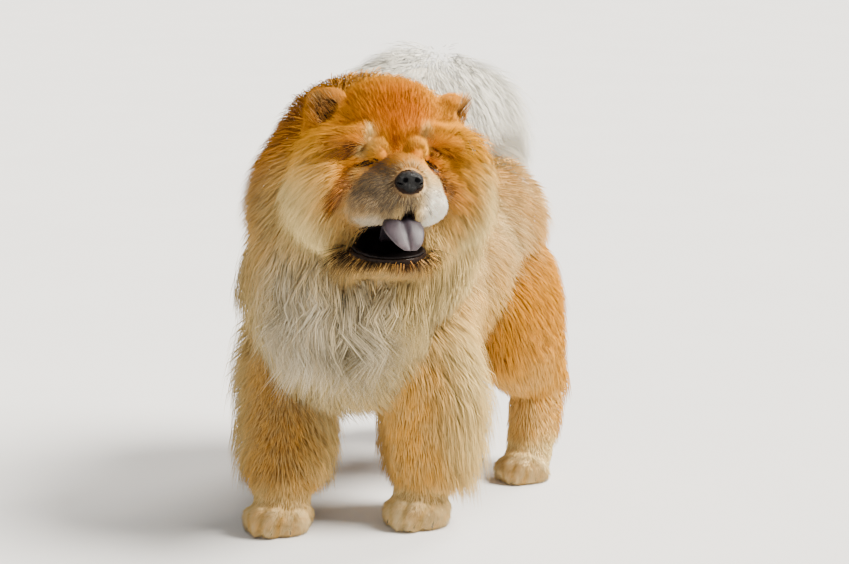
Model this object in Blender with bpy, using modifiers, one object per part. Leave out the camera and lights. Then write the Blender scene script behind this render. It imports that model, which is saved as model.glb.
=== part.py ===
"""A chow chow that stands still with its head turned to its left, at life size.

The dog faces -Y, its left is +X, +Z is up and the floor is z = 0. Metres throughout.
Each part of the body is a core with the coat's locks fused to it. The parts are then
cut clear of one another, so that each meets its neighbours with a thin gap.
"""

import math

import bmesh
import bpy
import numpy as np
from mathutils import Euler, Matrix, Vector
from mathutils.bvhtree import BVHTree

# Driving dimensions
GAP = 0.0004
CORE_SHARE = 0.45
FLOOR = 0.0

SKULL = Vector((0.113, -0.262, 0.576))
HEAD_TURN = math.radians(38.0)
HEAD_LIFT = math.radians(12.0)
HEAD_TILT = math.radians(3.5)
HEAD = (
    Matrix.Translation(SKULL)
    @ Matrix.Rotation(HEAD_TURN, 4, "Z")
    @ Matrix.Rotation(-HEAD_LIFT, 4, "X")
    @ Matrix.Rotation(HEAD_TILT, 4, "Y")
)

# The middle of the whole dog's box on the floor, which becomes the origin
MIDDLE = Vector((0.0194, 0.0012, 0))

# How deep the coat stands off the flesh
TORSO_COAT = 0.050
RUFF_COAT = 0.092
TAIL_COAT = 0.105
THIGH_COAT = 0.050
FORELEG_COAT = 0.042
CROWN_COAT = 0.036
CHEEK_COAT = 0.060

EYE_RADIUS = 0.0115
EYE_SIDE = 0.046
EYE_FORWARD = 0.0745
EYE_HEIGHT = -0.001

# The mouth's lining, in the head's own frame: centre, radii and turn
MOUTH = ((0, -0.082, -0.107), (0.061, 0.082, 0.0265), (8, 0, 0))

# Where each foot stands, as (x, y)
FORE_RIGHT = Vector((-0.082, -0.247, 0))
FORE_LEFT = Vector((0.092, -0.122, 0))
HIND_LEFT = Vector((0.130, 0.190, 0))
HIND_RIGHT = Vector((-0.092, 0.310, 0))

# Colours, linear
RED_GOLD = (0.62, 0.27, 0.07)
GOLD = (0.72, 0.42, 0.16)
CREAM = (0.82, 0.70, 0.50)
WHITE = (0.90, 0.85, 0.74)
SAND = (0.74, 0.58, 0.38)
BLACK = (0.012, 0.011, 0.012)
BLUE_GREY = (0.22, 0.17, 0.20)
BROWN = (0.03, 0.016, 0.008)


def clear_scene():
    for obj in list(bpy.data.objects):
        bpy.data.objects.remove(obj)


def material(name, colour, roughness):
    made = bpy.data.materials.new(name)
    made.use_nodes = True
    shader = made.node_tree.nodes["Principled BSDF"]
    shader.inputs["Base Color"].default_value = (*colour, 1)
    shader.inputs["Roughness"].default_value = roughness
    shader.inputs["Metallic"].default_value = 0.0
    return made


def object_of(name, bm):
    mesh = bpy.data.meshes.new(name)
    bm.to_mesh(mesh)
    bm.free()
    return bpy.data.objects.new(name, mesh)


def turned(degrees):
    return Euler([math.radians(a) for a in degrees]).to_matrix().to_4x4()


def ball(centre, radii, turn=(0, 0, 0), place=Matrix(), around=24, along=14):
    """An ellipsoid, as an object that isn't linked yet."""
    bm = bmesh.new()
    bmesh.ops.create_uvsphere(bm, u_segments=around, v_segments=along, radius=1)
    bm.transform(place @ Matrix.Translation(centre) @ turned(turn) @ Matrix.Diagonal((*radii, 1)))
    return object_of("ball", bm)


def pair(centre, radii, turn=(0, 0, 0), place=Matrix(), **detail):
    """An ellipsoid on the left and its mirror image on the right."""
    x, y, z = centre
    a, b, c = turn
    left = ball((x, y, z), radii, (a, b, c), place, **detail)
    right = ball((-x, y, z), radii, (a, -b, -c), place, **detail)
    return [left, right]


def limb(points, radii, place=Matrix(), around=12):
    """A round limb through points, with a rounded end at both ends. radii are (across, along) pairs."""
    points = [Vector(p) for p in points]
    rings = []
    for i, p in enumerate(points):
        after = points[min(i + 1, len(points) - 1)]
        before = points[max(i - 1, 0)]
        rings.append((p, (after - before).normalized(), radii[i]))
    first, last = rings[0], rings[-1]
    cap = 0.6
    rings.insert(0, (first[0] - first[1] * first[2][0] * cap, first[1], [r * 0.62 for r in first[2]]))
    rings.append((last[0] + last[1] * last[2][0] * cap, last[1], [r * 0.62 for r in last[2]]))
    bm = bmesh.new()
    loops = []
    for centre, way, (across, along) in rings:
        side = Vector((1, 0, 0))
        fore = way.cross(side).normalized()
        side = fore.cross(way).normalized()
        loop = []
        for k in range(around):
            a = math.tau * k / around
            loop.append(bm.verts.new(place @ (centre + side * across * math.cos(a) + fore * along * math.sin(a))))
        loops.append(loop)
    for low, high in zip(loops, loops[1:]):
        for k in range(around):
            n = (k + 1) % around
            bm.faces.new((low[k], low[n], high[n], high[k]))
    bm.faces.new(loops[0][::-1])
    bm.faces.new(loops[-1])
    bmesh.ops.recalc_face_normals(bm, faces=bm.faces)
    return object_of("limb", bm)


def linked(obj):
    bpy.context.scene.collection.objects.link(obj)
    return obj


def apply_modifiers(obj):
    """Leaves obj with its evaluated mesh and no modifiers."""
    bpy.context.view_layer.update()
    graph = bpy.context.evaluated_depsgraph_get()
    made = bpy.data.meshes.new_from_object(obj.evaluated_get(graph))
    obj.modifiers.clear()
    obj.data = made
    return obj


def fuse(base, pieces):
    """One Boolean union of base with a collection of closed pieces, which are then removed."""
    if base.name not in bpy.context.scene.collection.objects:
        linked(base)
    if not pieces:
        return base
    gathered = bpy.data.collections.new("pieces")
    bpy.context.scene.collection.children.link(gathered)
    for piece in pieces:
        gathered.objects.link(piece)
    union = base.modifiers.new("union", "BOOLEAN")
    union.operation = "UNION"
    union.operand_type = "COLLECTION"
    union.collection = gathered
    union.solver = "MANIFOLD"
    apply_modifiers(base)
    for piece in list(gathered.objects):
        bpy.data.objects.remove(piece)
    bpy.data.collections.remove(gathered)
    return base


def cut(obj, cutter):
    """Takes the closed object cutter away from obj, then removes it."""
    linked(cutter)
    difference = obj.modifiers.new("cut", "BOOLEAN")
    difference.operation = "DIFFERENCE"
    difference.object = cutter
    difference.solver = "MANIFOLD"
    apply_modifiers(obj)
    bpy.data.objects.remove(cutter)
    return obj


def thin(obj, faces):
    """Brings obj down to about that many triangles."""
    count = sum(len(p.vertices) - 2 for p in obj.data.polygons)
    fewer = obj.modifiers.new("fewer", "DECIMATE")
    fewer.ratio = min(1.0, faces / count)
    fewer.use_collapse_triangulate = True
    return apply_modifiers(obj)


def soften(obj, voxel, rounds, faces):
    """Melts joined masses into one smooth body of about that many triangles."""
    remesh = obj.modifiers.new("remesh", "REMESH")
    remesh.mode = "VOXEL"
    remesh.voxel_size = voxel
    smooth = obj.modifiers.new("smooth", "SMOOTH")
    smooth.factor = 0.5
    smooth.iterations = rounds
    return thin(apply_modifiers(obj), faces)


def largest(obj):
    """Keeps only obj's largest closed surface."""
    bm = bmesh.new()
    bm.from_mesh(obj.data)
    bmesh.ops.triangulate(bm, faces=bm.faces)
    left = set(bm.faces)
    shells = []
    while left:
        start = left.pop()
        shell, edge = {start}, [start]
        while edge:
            for e in edge.pop().edges:
                for f in e.link_faces:
                    if f in left:
                        left.discard(f)
                        shell.add(f)
                        edge.append(f)
        shells.append(shell)
    shells.sort(key=lambda s: sum(f.calc_area() for f in s))
    scraps = [f for s in shells[:-1] for f in s]
    bmesh.ops.delete(bm, geom=scraps, context="FACES")
    bm.to_mesh(obj.data)
    bm.free()
    return obj


def grown(obj, by=GAP):
    """A copy of obj with its surface moved outwards."""
    bm = bmesh.new()
    bm.from_mesh(obj.data)
    bm.normal_update()
    for v, way in [(v, v.normal.copy()) for v in bm.verts]:
        v.co += way * by
    return object_of("grown", bm)


def clearance(obj):
    """A cutter that holds the whole of obj and a thin gap around it."""
    same = bpy.data.objects.new("same", obj.data.copy())
    cutter = fuse(grown(obj), [same])
    bpy.context.scene.collection.objects.unlink(cutter)
    return cutter


# The coat


def lock(root, out, lie, rise, reach, width, thick, sway=0.0, droop=0.0):
    """One flat, tapered lock. It starts inside the core at root, rises off it and bends along its lie."""
    side = out.cross(lie).normalized()
    sink = min(0.014, 0.4 * rise + 0.006)
    spine = []
    for t in (0.0, 0.36, 0.72, 1.0):
        up = -sink + (rise + sink) * math.sin(t * math.pi / 2) ** 0.8
        bend = side * sway * t * t - Vector((0, 0, droop * t * t))
        spine.append(root + out * up + lie * reach * (t**1.2 - 0.1) + bend)
    bm = bmesh.new()
    loops = []
    for k, (wide, deep) in enumerate(((0.85, 1.0), (1.0, 1.0), (0.68, 0.7))):
        way = (spine[k + 1] - spine[max(k - 1, 0)]).normalized()
        across = way.cross(side).cross(way).normalized()
        above = across.cross(way).normalized()
        across, above = across * width * wide / 2, above * thick * deep / 2
        p = spine[k]
        loops.append([bm.verts.new(q) for q in (p + across - above, p + above, p - across - above)])
    tip = bm.verts.new(spine[3])
    for low, high in zip(loops, loops[1:]):
        for k in range(3):
            n = (k + 1) % 3
            bm.faces.new((low[k], low[n], high[n], high[k]))
    for k in range(3):
        bm.faces.new((loops[2][k], loops[2][(k + 1) % 3], tip))
    bm.faces.new(loops[0][::-1])
    bmesh.ops.recalc_face_normals(bm, faces=bm.faces)
    for v in bm.verts:
        v.co.z = max(v.co.z, FLOOR + 0.010 + 0.1 * thick)
    bmesh.ops.triangulate(bm, faces=bm.faces)
    return object_of("lock", bm)


def roots_on(obj, spacing, where, rng, tries=6000):
    """Points spread evenly over obj where where(p, n) is true, at least spacing(p) apart."""
    mesh = obj.data
    mesh.calc_loop_triangles()
    corners = np.array([[mesh.vertices[i].co for i in t.vertices] for t in mesh.loop_triangles])
    normals = np.cross(corners[:, 1] - corners[:, 0], corners[:, 2] - corners[:, 0])
    area = np.linalg.norm(normals, axis=1)
    normals /= area[:, None]
    chosen = rng.choice(len(corners), tries, p=area / area.sum())
    a, b = rng.random((2, tries, 1))
    flip = a + b > 1
    a, b = np.where(flip, 1 - a, a), np.where(flip, 1 - b, b)
    c = corners[chosen]
    points = c[:, 0] + a * (c[:, 1] - c[:, 0]) + b * (c[:, 2] - c[:, 0])
    kept = np.empty((0, 3))
    found = []
    for p, n in zip(points, normals[chosen]):
        if len(kept) and np.min(np.linalg.norm(kept - p, axis=1)) < spacing(p):
            continue
        if where(p, n):
            kept = np.vstack([kept, p])
            found.append(Vector(p))
    return found


def smooth_normal(tree, p, reach=0.012):
    """The surface's direction near p, averaged so that a facet's edge doesn't turn a lock."""
    total = Vector()
    for offset in ((0, 0, 0), (reach, 0, 0), (-reach, 0, 0), (0, reach, 0), (0, -reach, 0), (0, 0, reach), (0, 0, -reach)):
        total += tree.find_nearest(p + Vector(offset))[1]
    return total.normalized()


def depth_in(tree, p):
    """How far p is inside the closed surface of tree. Outside it is negative."""
    near, out, _, _ = tree.find_nearest(p)
    return (near - p).dot(out)


def comb(core, coat, seed, covers=()):
    """The locks of one part. coat has spacing, where, lie, rise, reach, width and thick.

    All of those but thick and sway are functions of a point. A lock whose middle would be hidden inside
    one of the covers is left out.
    """
    rng = np.random.default_rng(seed)
    tree = tree_of(core)
    hidden = [tree_of(c) for c in covers]
    locks = []
    for p in roots_on(core, coat["spacing"], coat["where"], rng):
        out = smooth_normal(tree, p)
        lie = coat["lie"](p, out)
        lie = (lie - out * lie.dot(out)).normalized()
        rise, reach = coat["rise"](p), coat["reach"](p)
        middle = p + out * rise * 0.6 + lie * reach * 0.5
        tip = p + out * rise * 0.9 + lie * reach * 0.9
        if any(depth_in(t, middle) > 0.004 or depth_in(t, tip) > 0.010 for t in hidden):
            continue
        vary = lambda spread: 1 + spread * (rng.random() - 0.5)
        sway = coat.get("sway", 0.012) * (rng.random() - 0.5) * 2
        width = coat["width"](p) * vary(0.25)
        rise, reach = rise * vary(0.25), reach * vary(0.3)
        locks.append(lock(p, out, lie, rise, reach, width, coat["thick"], sway, coat.get("droop", 0.012)))
    return locks


def tree_of(obj):
    bm = bmesh.new()
    bm.from_mesh(obj.data)
    tree = BVHTree.FromBMesh(bm)
    bm.free()
    return tree


def always(value):
    return lambda p: value


def inside(p, centre, radii, place=Matrix()):
    """True if p is within that ellipsoid."""
    q = place.inverted() @ Vector(p) - Vector(centre)
    return sum((q[i] / radii[i]) ** 2 for i in range(3)) < 1


# The parts of the body. Each has a core, and a coat that is combed from it


def swollen(radii, coat, share=CORE_SHARE):
    return [r + coat * share for r in radii]


RIBS = ((0, -0.090, 0.360), (0.112, 0.165, 0.130))
FORECHEST = ((0.006, -0.190, 0.365), (0.098, 0.080, 0.112))
LOIN = ((0, 0.060, 0.372), (0.106, 0.150, 0.112))
HIPS = ((0.002, 0.190, 0.375), (0.106, 0.108, 0.112))
NECK = ((0.037, -0.172, 0.496), (0.108, 0.088, 0.108))
BIB = ((0.030, -0.215, 0.412), (0.092, 0.064, 0.090))


def torso_core():
    masses = [ball(c, swollen(r, TORSO_COAT)) for c, r in (FORECHEST, LOIN, HIPS)]
    core = fuse(ball(RIBS[0], swollen(RIBS[1], TORSO_COAT)), masses)
    return soften(core, 0.014, 8, 330)


def torso_coat():
    def where(p, n):
        under_tail = abs(p[0] + 0.02) < 0.045 and p[1] > 0.10 and p[2] > 0.48
        return not under_tail and not (n[2] < -0.75 and abs(p[0]) < 0.05)

    def lie(p, out):
        return Vector((p[0] * 0.3, 0.70, -0.80 + 0.9 * (p[2] < 0.27)))

    return dict(
        spacing=lambda p: 0.053 + 0.022 * (p[2] < 0.28), where=where, lie=lie,
        rise=always(TORSO_COAT * (1 - CORE_SHARE)), reach=always(0.092), width=always(0.066), thick=0.014,
    )


def ruff_core():
    bib = ball(BIB[0], swollen(BIB[1], RUFF_COAT, 0.35))
    return soften(fuse(ball(NECK[0], swollen(NECK[1], RUFF_COAT)), [bib]), 0.014, 8, 260)


def ruff_coat():
    centre = Vector(NECK[0])

    def where(p, n):
        face = inside(p, (0, -0.02, -0.01), (0.125, 0.14, 0.11), HEAD)
        return not face and not (p[1] > -0.10 and p[2] < 0.43)

    def lie(p, out):
        away = Vector(p) - centre
        return Vector((away.x * 2.0, 0.10 + away.y * 1.2, away.z * 2.0 - 0.16))

    def reach(p):
        return 0.085 + 0.030 * (p[2] < 0.43)

    return dict(
        spacing=always(0.047), where=where, lie=lie, rise=always(RUFF_COAT * (1 - CORE_SHARE) * 0.95),
        reach=reach, width=always(0.058), thick=0.014,
    )


TAIL_LINE = ((0.004, 0.262, 0.470), (0.000, 0.272, 0.540), (-0.012, 0.225, 0.582), (-0.024, 0.155, 0.586),
             (-0.020, 0.085, 0.568))
TAIL_RADII = (0.026, 0.025, 0.023, 0.021, 0.017)
TAIL_SPREAD = (0.30, 0.70, 1.00, 1.10, 0.80)


def tail_core():
    thick = [r + TAIL_COAT * CORE_SHARE * s for r, s in zip(TAIL_RADII, TAIL_SPREAD)]
    return soften(linked(limb(TAIL_LINE, [(r * 1.2, r * 0.95) for r in thick])), 0.011, 6, 170)


def tail_coat():
    middle = Vector((-0.016, 0.17, 0.535))

    def where(p, n):
        return p[2] > 0.500 and n[2] > -0.55

    def lie(p, out):
        if p[2] < 0.555:
            return Vector((away_x(p), 0.10, -0.10))
        away = Vector(p) - middle
        return Vector((away.x * 2.0, away.y * 0.8 + 0.01, 0.2 * away.z - 0.02))

    def away_x(p):
        return p[0] + 0.016

    def rise(p):
        on_top = min(1.0, max(0.0, (p[2] - 0.58) / 0.04))
        return TAIL_COAT * (1 - CORE_SHARE) * (0.50 + 0.45 * on_top)

    def reach(p):
        return 0.070 + 0.035 * min(1.0, abs(away_x(p)) / 0.05)

    return dict(
        spacing=always(0.040), where=where, lie=lie, rise=rise, reach=reach, width=always(0.054), thick=0.012,
        sway=0.014, droop=0.020,
    )


def foreleg_line(foot, side):
    elbow = Vector((0.106 * side, -0.150 + 0.15 * (foot.y + 0.185), 0.235))
    shoulder = Vector((0.088 * side, -0.145, 0.320))
    wrist = foot + Vector((0.002 * side, 0.016, 0.072))
    return shoulder, elbow, (elbow + wrist) / 2, wrist, foot + Vector((0, 0.010, 0.046))


def foreleg_core(foot, side):
    radii = ((0.058, 0.066), (0.057, 0.064), (0.051, 0.056), (0.043, 0.045), (0.040, 0.042))
    return soften(linked(limb(foreleg_line(foot, side), radii)), 0.010, 4, 150)


def foreleg_coat(foot, side):
    _, elbow, _, wrist, _ = foreleg_line(foot, side)

    def behind(p):
        """1 at the back and the outer side of the leg, 0 in front."""
        axis = wrist.lerp(elbow, (p[2] - wrist.z) / (elbow.z - wrist.z))
        return min(1.0, max(0.0, ((p[1] - axis.y) + 0.55 * (p[0] - axis.x) * side) / 0.040 + 0.35))

    def where(p, n):
        return 0.085 < p[2] < 0.35 and behind(p) > 0.25 - 0.4 * (p[2] > 0.19)

    def lie(p, out):
        axis = wrist.lerp(elbow, (p[2] - wrist.z) / (elbow.z - wrist.z))
        return Vector(((p[0] - axis.x) * 5, max(0.0, p[1] - axis.y) * 12, -1))

    return dict(
        spacing=always(0.040), where=where, lie=lie, rise=lambda p: 0.008 + FORELEG_COAT * behind(p),
        reach=lambda p: 0.060 + 0.025 * behind(p), width=always(0.050), thick=0.011, sway=0.006,
    )


def hindleg_line(foot, side):
    hip = Vector((0.076 * side, 0.200, 0.345))
    stifle = Vector((0.114 * side, 0.110 + 0.25 * foot.y, 0.262))
    hock = foot + Vector((-0.003 * side, 0.050, 0.150))
    calf = stifle.lerp(hock, 0.6)
    low = foot + Vector((0, 0.026, 0.046))
    return hip, stifle.lerp(hip, 0.35), stifle.lerp(calf, 0.4), calf, hock, hock.lerp(low, 0.5), low


def hindleg_core(foot, side):
    radii = ((0.078, 0.090), (0.079, 0.098), (0.064, 0.082), (0.051, 0.060), (0.037, 0.042), (0.034, 0.037), (0.036, 0.038))
    return soften(linked(limb(hindleg_line(foot, side), radii)), 0.010, 4, 220)


def hindleg_coat(foot, side):
    def where(p, n):
        thigh = 0.20 < p[2] < 0.42 and p[0] * side > 0.04
        heel = 0.09 < p[2] <= 0.20 and n[1] > 0.35
        return thigh or heel

    def lie(p, out):
        return Vector((p[0] * 1.5, 0.45, -0.9))

    def rise(p):
        if p[2] < 0.19:
            return 0.018
        return THIGH_COAT * (0.45 + 0.35 * (p[1] > 0.215))

    return dict(
        spacing=lambda p: 0.054 - 0.016 * (p[2] < 0.2), where=where, lie=lie, rise=rise,
        reach=lambda p: 0.085 - 0.035 * (p[2] < 0.19), width=lambda p: 0.060 - 0.022 * (p[2] < 0.19), thick=0.013,
    )


def paw_core(foot, size, turn):
    """A round, compact foot with four toes and their claws. Its sole is flat on the floor."""
    place = Matrix.Translation(foot) @ Matrix.Rotation(turn, 4, "Z") @ Matrix.Scale(size, 4)
    pieces = []
    toes = ((-0.030, -0.016, 0.90), (-0.0115, -0.031, 1.0), (0.0115, -0.031, 1.0), (0.030, -0.016, 0.90))
    for x, y, s in toes:
        pieces.append(ball((x, y, 0.021 * s), (0.0145 * s, 0.026 * s, 0.0225 * s), (0, 0, -x * 500), place))
    pieces.append(ball((0, 0.018, 0.022), (0.038, 0.034, 0.028), (0, 0, 0), place))
    core = fuse(ball((0, 0.0, 0.026), (0.040, 0.042, 0.032), (0, 0, 0), place), pieces)
    soften(core, 0.0035, 2, 230)
    claws = []
    for x, y, s in toes:
        root = place @ Vector((x * 1.10, y - 0.020 * s, 0.012))
        tip = place @ Vector((x * 1.20, y - 0.0285 * s, 0.0035 / size))
        bm = bmesh.new()
        bmesh.ops.create_cone(bm, cap_ends=True, segments=4, radius1=0.0036, radius2=0.0012, depth=(tip - root).length)
        bm.transform(Matrix.Translation((root + tip) / 2) @ (tip - root).to_track_quat("Z", "Y").to_matrix().to_4x4())
        claws.append(object_of("claw", bm))
    fuse(core, claws)
    bm = bmesh.new()
    bmesh.ops.create_cube(bm, size=0.4)
    bm.transform(Matrix.Translation((foot.x, foot.y, -0.2)))
    return cut(core, object_of("floor", bm))


def head_core(ruff):
    """The skull with its muzzle, lips, brow folds and lids, and the mouth's upper half."""
    b, both = (lambda *a: ball(*a, place=HEAD)), (lambda *a: pair(*a, place=HEAD))
    masses = [
        b((0, -0.038, -0.018), (0.078, 0.055, 0.056)),
        b((0, 0.000, -0.088), (0.082, 0.070, 0.052)),
        b((0, -0.100, -0.044), (0.055, 0.050, 0.034)),
        b((0, -0.126, -0.041), (0.041, 0.030, 0.026)),
        b((0, -0.088, -0.022), (0.036, 0.054, 0.022), (0, 0, 0)),
        *both((0.066, -0.014, -0.042), (0.060, 0.058, 0.064)),
        *both((0.039, -0.094, -0.060), (0.032, 0.054, 0.034), (0, 0, 14)),
        *both((0.020, -0.130, -0.056), (0.023, 0.024, 0.026)),
        *both((0.044, -0.063, 0.034), (0.042, 0.029, 0.021), (0, 12, -14)),
        *both((0.020, -0.086, 0.020), (0.012, 0.014, 0.018)),
        *both((0.054, -0.072, -0.026), (0.028, 0.020, 0.011), (0, 12, -16)),
        *both((EYE_SIDE, -0.073, EYE_HEIGHT), (0.025, 0.0170, 0.018)),
        *both((0.080, -0.036, -0.012), (0.034, 0.042, 0.060), (0, 0, -20)),
        b((0, -0.074, -0.126), (0.060, 0.070, 0.020), (10, 0, 0)),
        b((0, -0.122, -0.130), (0.038, 0.030, 0.012), (6, 0, 0)),
    ]
    core = fuse(b((0, 0.005, 0.022), (0.092, 0.088, 0.082)), masses)
    soften(core, 0.0036, 7, 1e9)
    cut(core, grown(ruff, 3 * GAP))
    return thin(largest(core), 1700)


def open_face(head):
    """Opens the eyes' slits and sockets, the mouth and the cleft of the upper lip."""
    for side in (-1, 1):
        middle = (EYE_SIDE * side, -EYE_FORWARD - 0.012, EYE_HEIGHT - 0.001)
        cut(head, ball(middle, (0.0115, 0.012, 0.0030), (0, 14 * side, 0), HEAD, 10, 6))
        cut(head, ball((EYE_SIDE * side, -EYE_FORWARD, EYE_HEIGHT), [EYE_RADIUS + 2 * GAP] * 3, (90, 0, 0), HEAD, 12, 7))
    cut(head, ball(MOUTH[0], MOUTH[1], MOUTH[2], HEAD, 18, 9))
    cut(head, ball((0, -0.160, -0.060), (0.0016, 0.016, 0.014), (0, 0, 0), HEAD, 6, 6))
    return largest(head)


def head_coat():
    to_local = HEAD.inverted()

    def where(p, n):
        q = to_local @ Vector(p)
        crown = q.z > 0.050 and q.y > -0.050
        cheek = abs(q.x) > 0.078 and q.y > -0.040 and q.z < 0.04
        jowl = q.z < -0.095 and q.y > -0.045
        by_ear = abs(abs(q.x) - 0.092) < 0.042 and q.z > 0.01 and q.y < 0.05
        return (crown or cheek or jowl) and not by_ear

    def lie(p, out):
        q = to_local @ p
        local = Vector((q.x * 7, 0.55, q.z * 6 if q.z > 0 else q.z * 4 - 0.35))
        return HEAD.to_3x3() @ local

    def rise(p):
        q = to_local @ Vector(p)
        return 0.022 if q.z > 0.03 else 0.028 + 0.12 * max(0.0, abs(q.x) - 0.06)

    return dict(
        spacing=always(0.036), where=where, lie=lie, rise=rise, reach=always(0.052), width=always(0.046),
        thick=0.011, sway=0.006,
    )


def eye_core(side):
    return linked(ball((EYE_SIDE * side, -EYE_FORWARD, EYE_HEIGHT), [EYE_RADIUS] * 3, (90, 0, 0), HEAD, 12, 7))


def nose_core():
    core = fuse(
        ball((0, -0.150, -0.030), (0.0230, 0.014, 0.0130), (0, 0, 0), HEAD),
        [
            ball((0, -0.147, -0.040), (0.014, 0.013, 0.013), (0, 0, 0), HEAD),
            *pair((0.013, -0.150, -0.034), (0.0095, 0.012, 0.011), (0, 0, 0), HEAD),
        ],
    )
    soften(core, 0.0015, 3, 220)
    for side in (-1, 1):
        cut(core, ball((0.0105 * side, -0.164, -0.0325), (0.0046, 0.010, 0.0036), (0, 35 * side, 20 * side), HEAD, 10, 6))
        cut(core, ball((0.0185 * side, -0.159, -0.0365), (0.0050, 0.008, 0.0016), (0, -20 * side, 0), HEAD, 8, 6))
    return core


def ear_core(side):
    """A small, thick, rounded triangle that stands up and leans forward, its cup open to the front and side."""
    lean = (12, 10 * side, 38 * side)
    core = fuse(
        ball((0.098 * side, 0.002, 0.081), (0.026, 0.015, 0.031), lean, HEAD),
        [
            ball((0.094 * side, 0.010, 0.056), (0.035, 0.022, 0.028), lean, HEAD),
            ball((0.096 * side, 0.006, 0.070), (0.032, 0.018, 0.026), lean, HEAD),
        ],
    )
    soften(core, 0.003, 4, 200)
    return cut(core, ball((0.107 * side, -0.014, 0.072), (0.019, 0.019, 0.025), lean, HEAD, 12, 8))


def mouth_core():
    """The dark lining of the mouth, from the roof to the lower lip, open at the front."""
    lining = ball(MOUTH[0], [r - 2 * GAP for r in MOUTH[1]], MOUTH[2], HEAD, 18, 9)
    return cut(linked(lining), ball((0, -0.086, -0.106), (0.055, 0.084, 0.0205), MOUTH[2], HEAD, 16, 8))


def tongue_core():
    core = fuse(
        ball((0, -0.088, -0.100), (0.033, 0.054, 0.0110), (6, 0, 0), HEAD),
        [
            ball((0.000, -0.128, -0.104), (0.032, 0.028, 0.0075), (20, 0, 0), HEAD),
            ball((0.002, -0.150, -0.118), (0.024, 0.021, 0.0060), (52, 0, 0), HEAD),
        ],
    )
    soften(core, 0.0018, 5, 220)
    return cut(core, ball((0.001, -0.138, -0.094), (0.0016, 0.040, 0.0065), (28, 0, 0), HEAD, 6, 8))


def main():
    clear_scene()
    fur = {
        "head": material("head_coat", RED_GOLD, 0.8),
        "ruff": material("ruff_coat", CREAM, 0.85),
        "body": material("body_coat", GOLD, 0.85),
        "tail": material("tail_coat", WHITE, 0.85),
        "legs": material("leg_coat", GOLD, 0.85),
        "paws": material("paw_coat", SAND, 0.8),
    }
    nose = material("nose_leather", BLACK, 0.3)
    lip = material("lip_leather", BLACK, 0.4)
    tongue = material("tongue_flesh", BLUE_GREY, 0.35)
    eye = material("eye_brown", BROWN, 0.1)

    ruff = ruff_core()
    torso = torso_core()
    tail = tail_core()
    legs = {
        "foreleg_right": (foreleg_core(FORE_RIGHT, -1), foreleg_coat(FORE_RIGHT, -1), 41),
        "foreleg_left": (foreleg_core(FORE_LEFT, 1), foreleg_coat(FORE_LEFT, 1), 42),
        "hindleg_left": (hindleg_core(HIND_LEFT, 1), hindleg_coat(HIND_LEFT, 1), 53),
        "hindleg_right": (hindleg_core(HIND_RIGHT, -1), hindleg_coat(HIND_RIGHT, -1), 54),
    }
    head = head_core(ruff)
    hollow = {"ruff": grown(torso, 3 * GAP), "tail": grown(torso, 3 * GAP)}
    hollow.update((name, grown(torso, 3 * GAP)) for name in legs)
    ankles = {name: grown(core, 3 * GAP) for name, (core, _, _) in legs.items()}
    limbs = [core for core, _, _ in legs.values()]
    feet = (
        ("foreleg_right", FORE_RIGHT, 1.08, 0.05),
        ("foreleg_left", FORE_LEFT, 1.08, 0.10),
        ("hindleg_left", HIND_LEFT, 0.92, 0.10),
        ("hindleg_right", HIND_RIGHT, 0.92, -0.05),
    )

    # Each coat is combed while every core is still whole
    torso_locks = comb(torso, torso_coat(), 11, [ruff, tail, *limbs])
    ruff_locks = comb(ruff, ruff_coat(), 23, [torso, head])
    tail_locks = comb(tail, tail_coat(), 37, [torso])
    head_locks = comb(head, head_coat(), 71, [ruff])
    leg_locks = {name: comb(core, coat, seed, [torso, ruff]) for name, (core, coat, seed) in legs.items()}

    # From the uppermost layer of the coat to the lowest, as each part is cut clear of those before it
    parts = [
        ("eye_left", eye, eye_core(1)),
        ("eye_right", eye, eye_core(-1)),
        ("head", fur["head"], open_face(thin(fuse(head, head_locks), 2150))),
        ("nose", nose, nose_core()),
        ("ear_left", fur["head"], ear_core(1)),
        ("ear_right", fur["head"], ear_core(-1)),
        ("tongue", tongue, tongue_core()),
        ("mouth", lip, mouth_core()),
        ("neck_ruff", fur["ruff"], thin(cut(fuse(ruff, ruff_locks), hollow["ruff"]), 1300)),
        ("tail", fur["tail"], thin(cut(fuse(tail, tail_locks), hollow["tail"]), 1100)),
        ("torso", fur["body"], thin(fuse(torso, torso_locks), 1400)),
    ]
    for name, (core, _, _) in legs.items():
        faces = 500 if name.startswith("fore") else 610
        parts.append((name, fur["legs"], thin(cut(fuse(core, leg_locks[name]), hollow[name]), faces)))
    for leg, foot, size, turn in feet:
        name = leg.replace("foreleg", "forepaw").replace("hindleg", "hindpaw")
        parts.append((name, fur["paws"], cut(paw_core(foot, size, turn), ankles[leg])))
    dog = bpy.data.collections.new("chow_chow")
    bpy.context.scene.collection.children.link(dog)
    done = []
    for name, finish, obj in parts:
        largest(obj)
        obj.name = name
        for other in done:
            if boxes_meet(obj, other):
                largest(cut(obj, clearance(other)))
        obj.data.materials.clear()
        obj.data.materials.append(finish)
        obj.data.shade_smooth()
        obj.data.set_sharp_from_angle(angle=math.radians(35))
        bpy.context.scene.collection.objects.unlink(obj)
        dog.objects.link(obj)
        done.append(obj)
    for obj in done:
        obj.location = -MIDDLE


def box_of(obj):
    points = np.array([v.co for v in obj.data.vertices])
    return points.min(0), points.max(0)


def boxes_meet(a, b):
    (low_a, high_a), (low_b, high_b) = box_of(a), box_of(b)
    return bool(np.all(low_a < high_b + GAP) and np.all(low_b < high_a + GAP))


main()
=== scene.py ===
"""A chow chow that stands still with its head turned to its left: skin, coat, eyes, nose, mouth and claws.

Metres throughout. The dog faces -Y, its left is +X, +Z is up and the floor is z = 0.
"""

import functools
import math

import bmesh
import bpy
import numpy as np
from mathutils import Euler, Matrix, Vector


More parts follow.
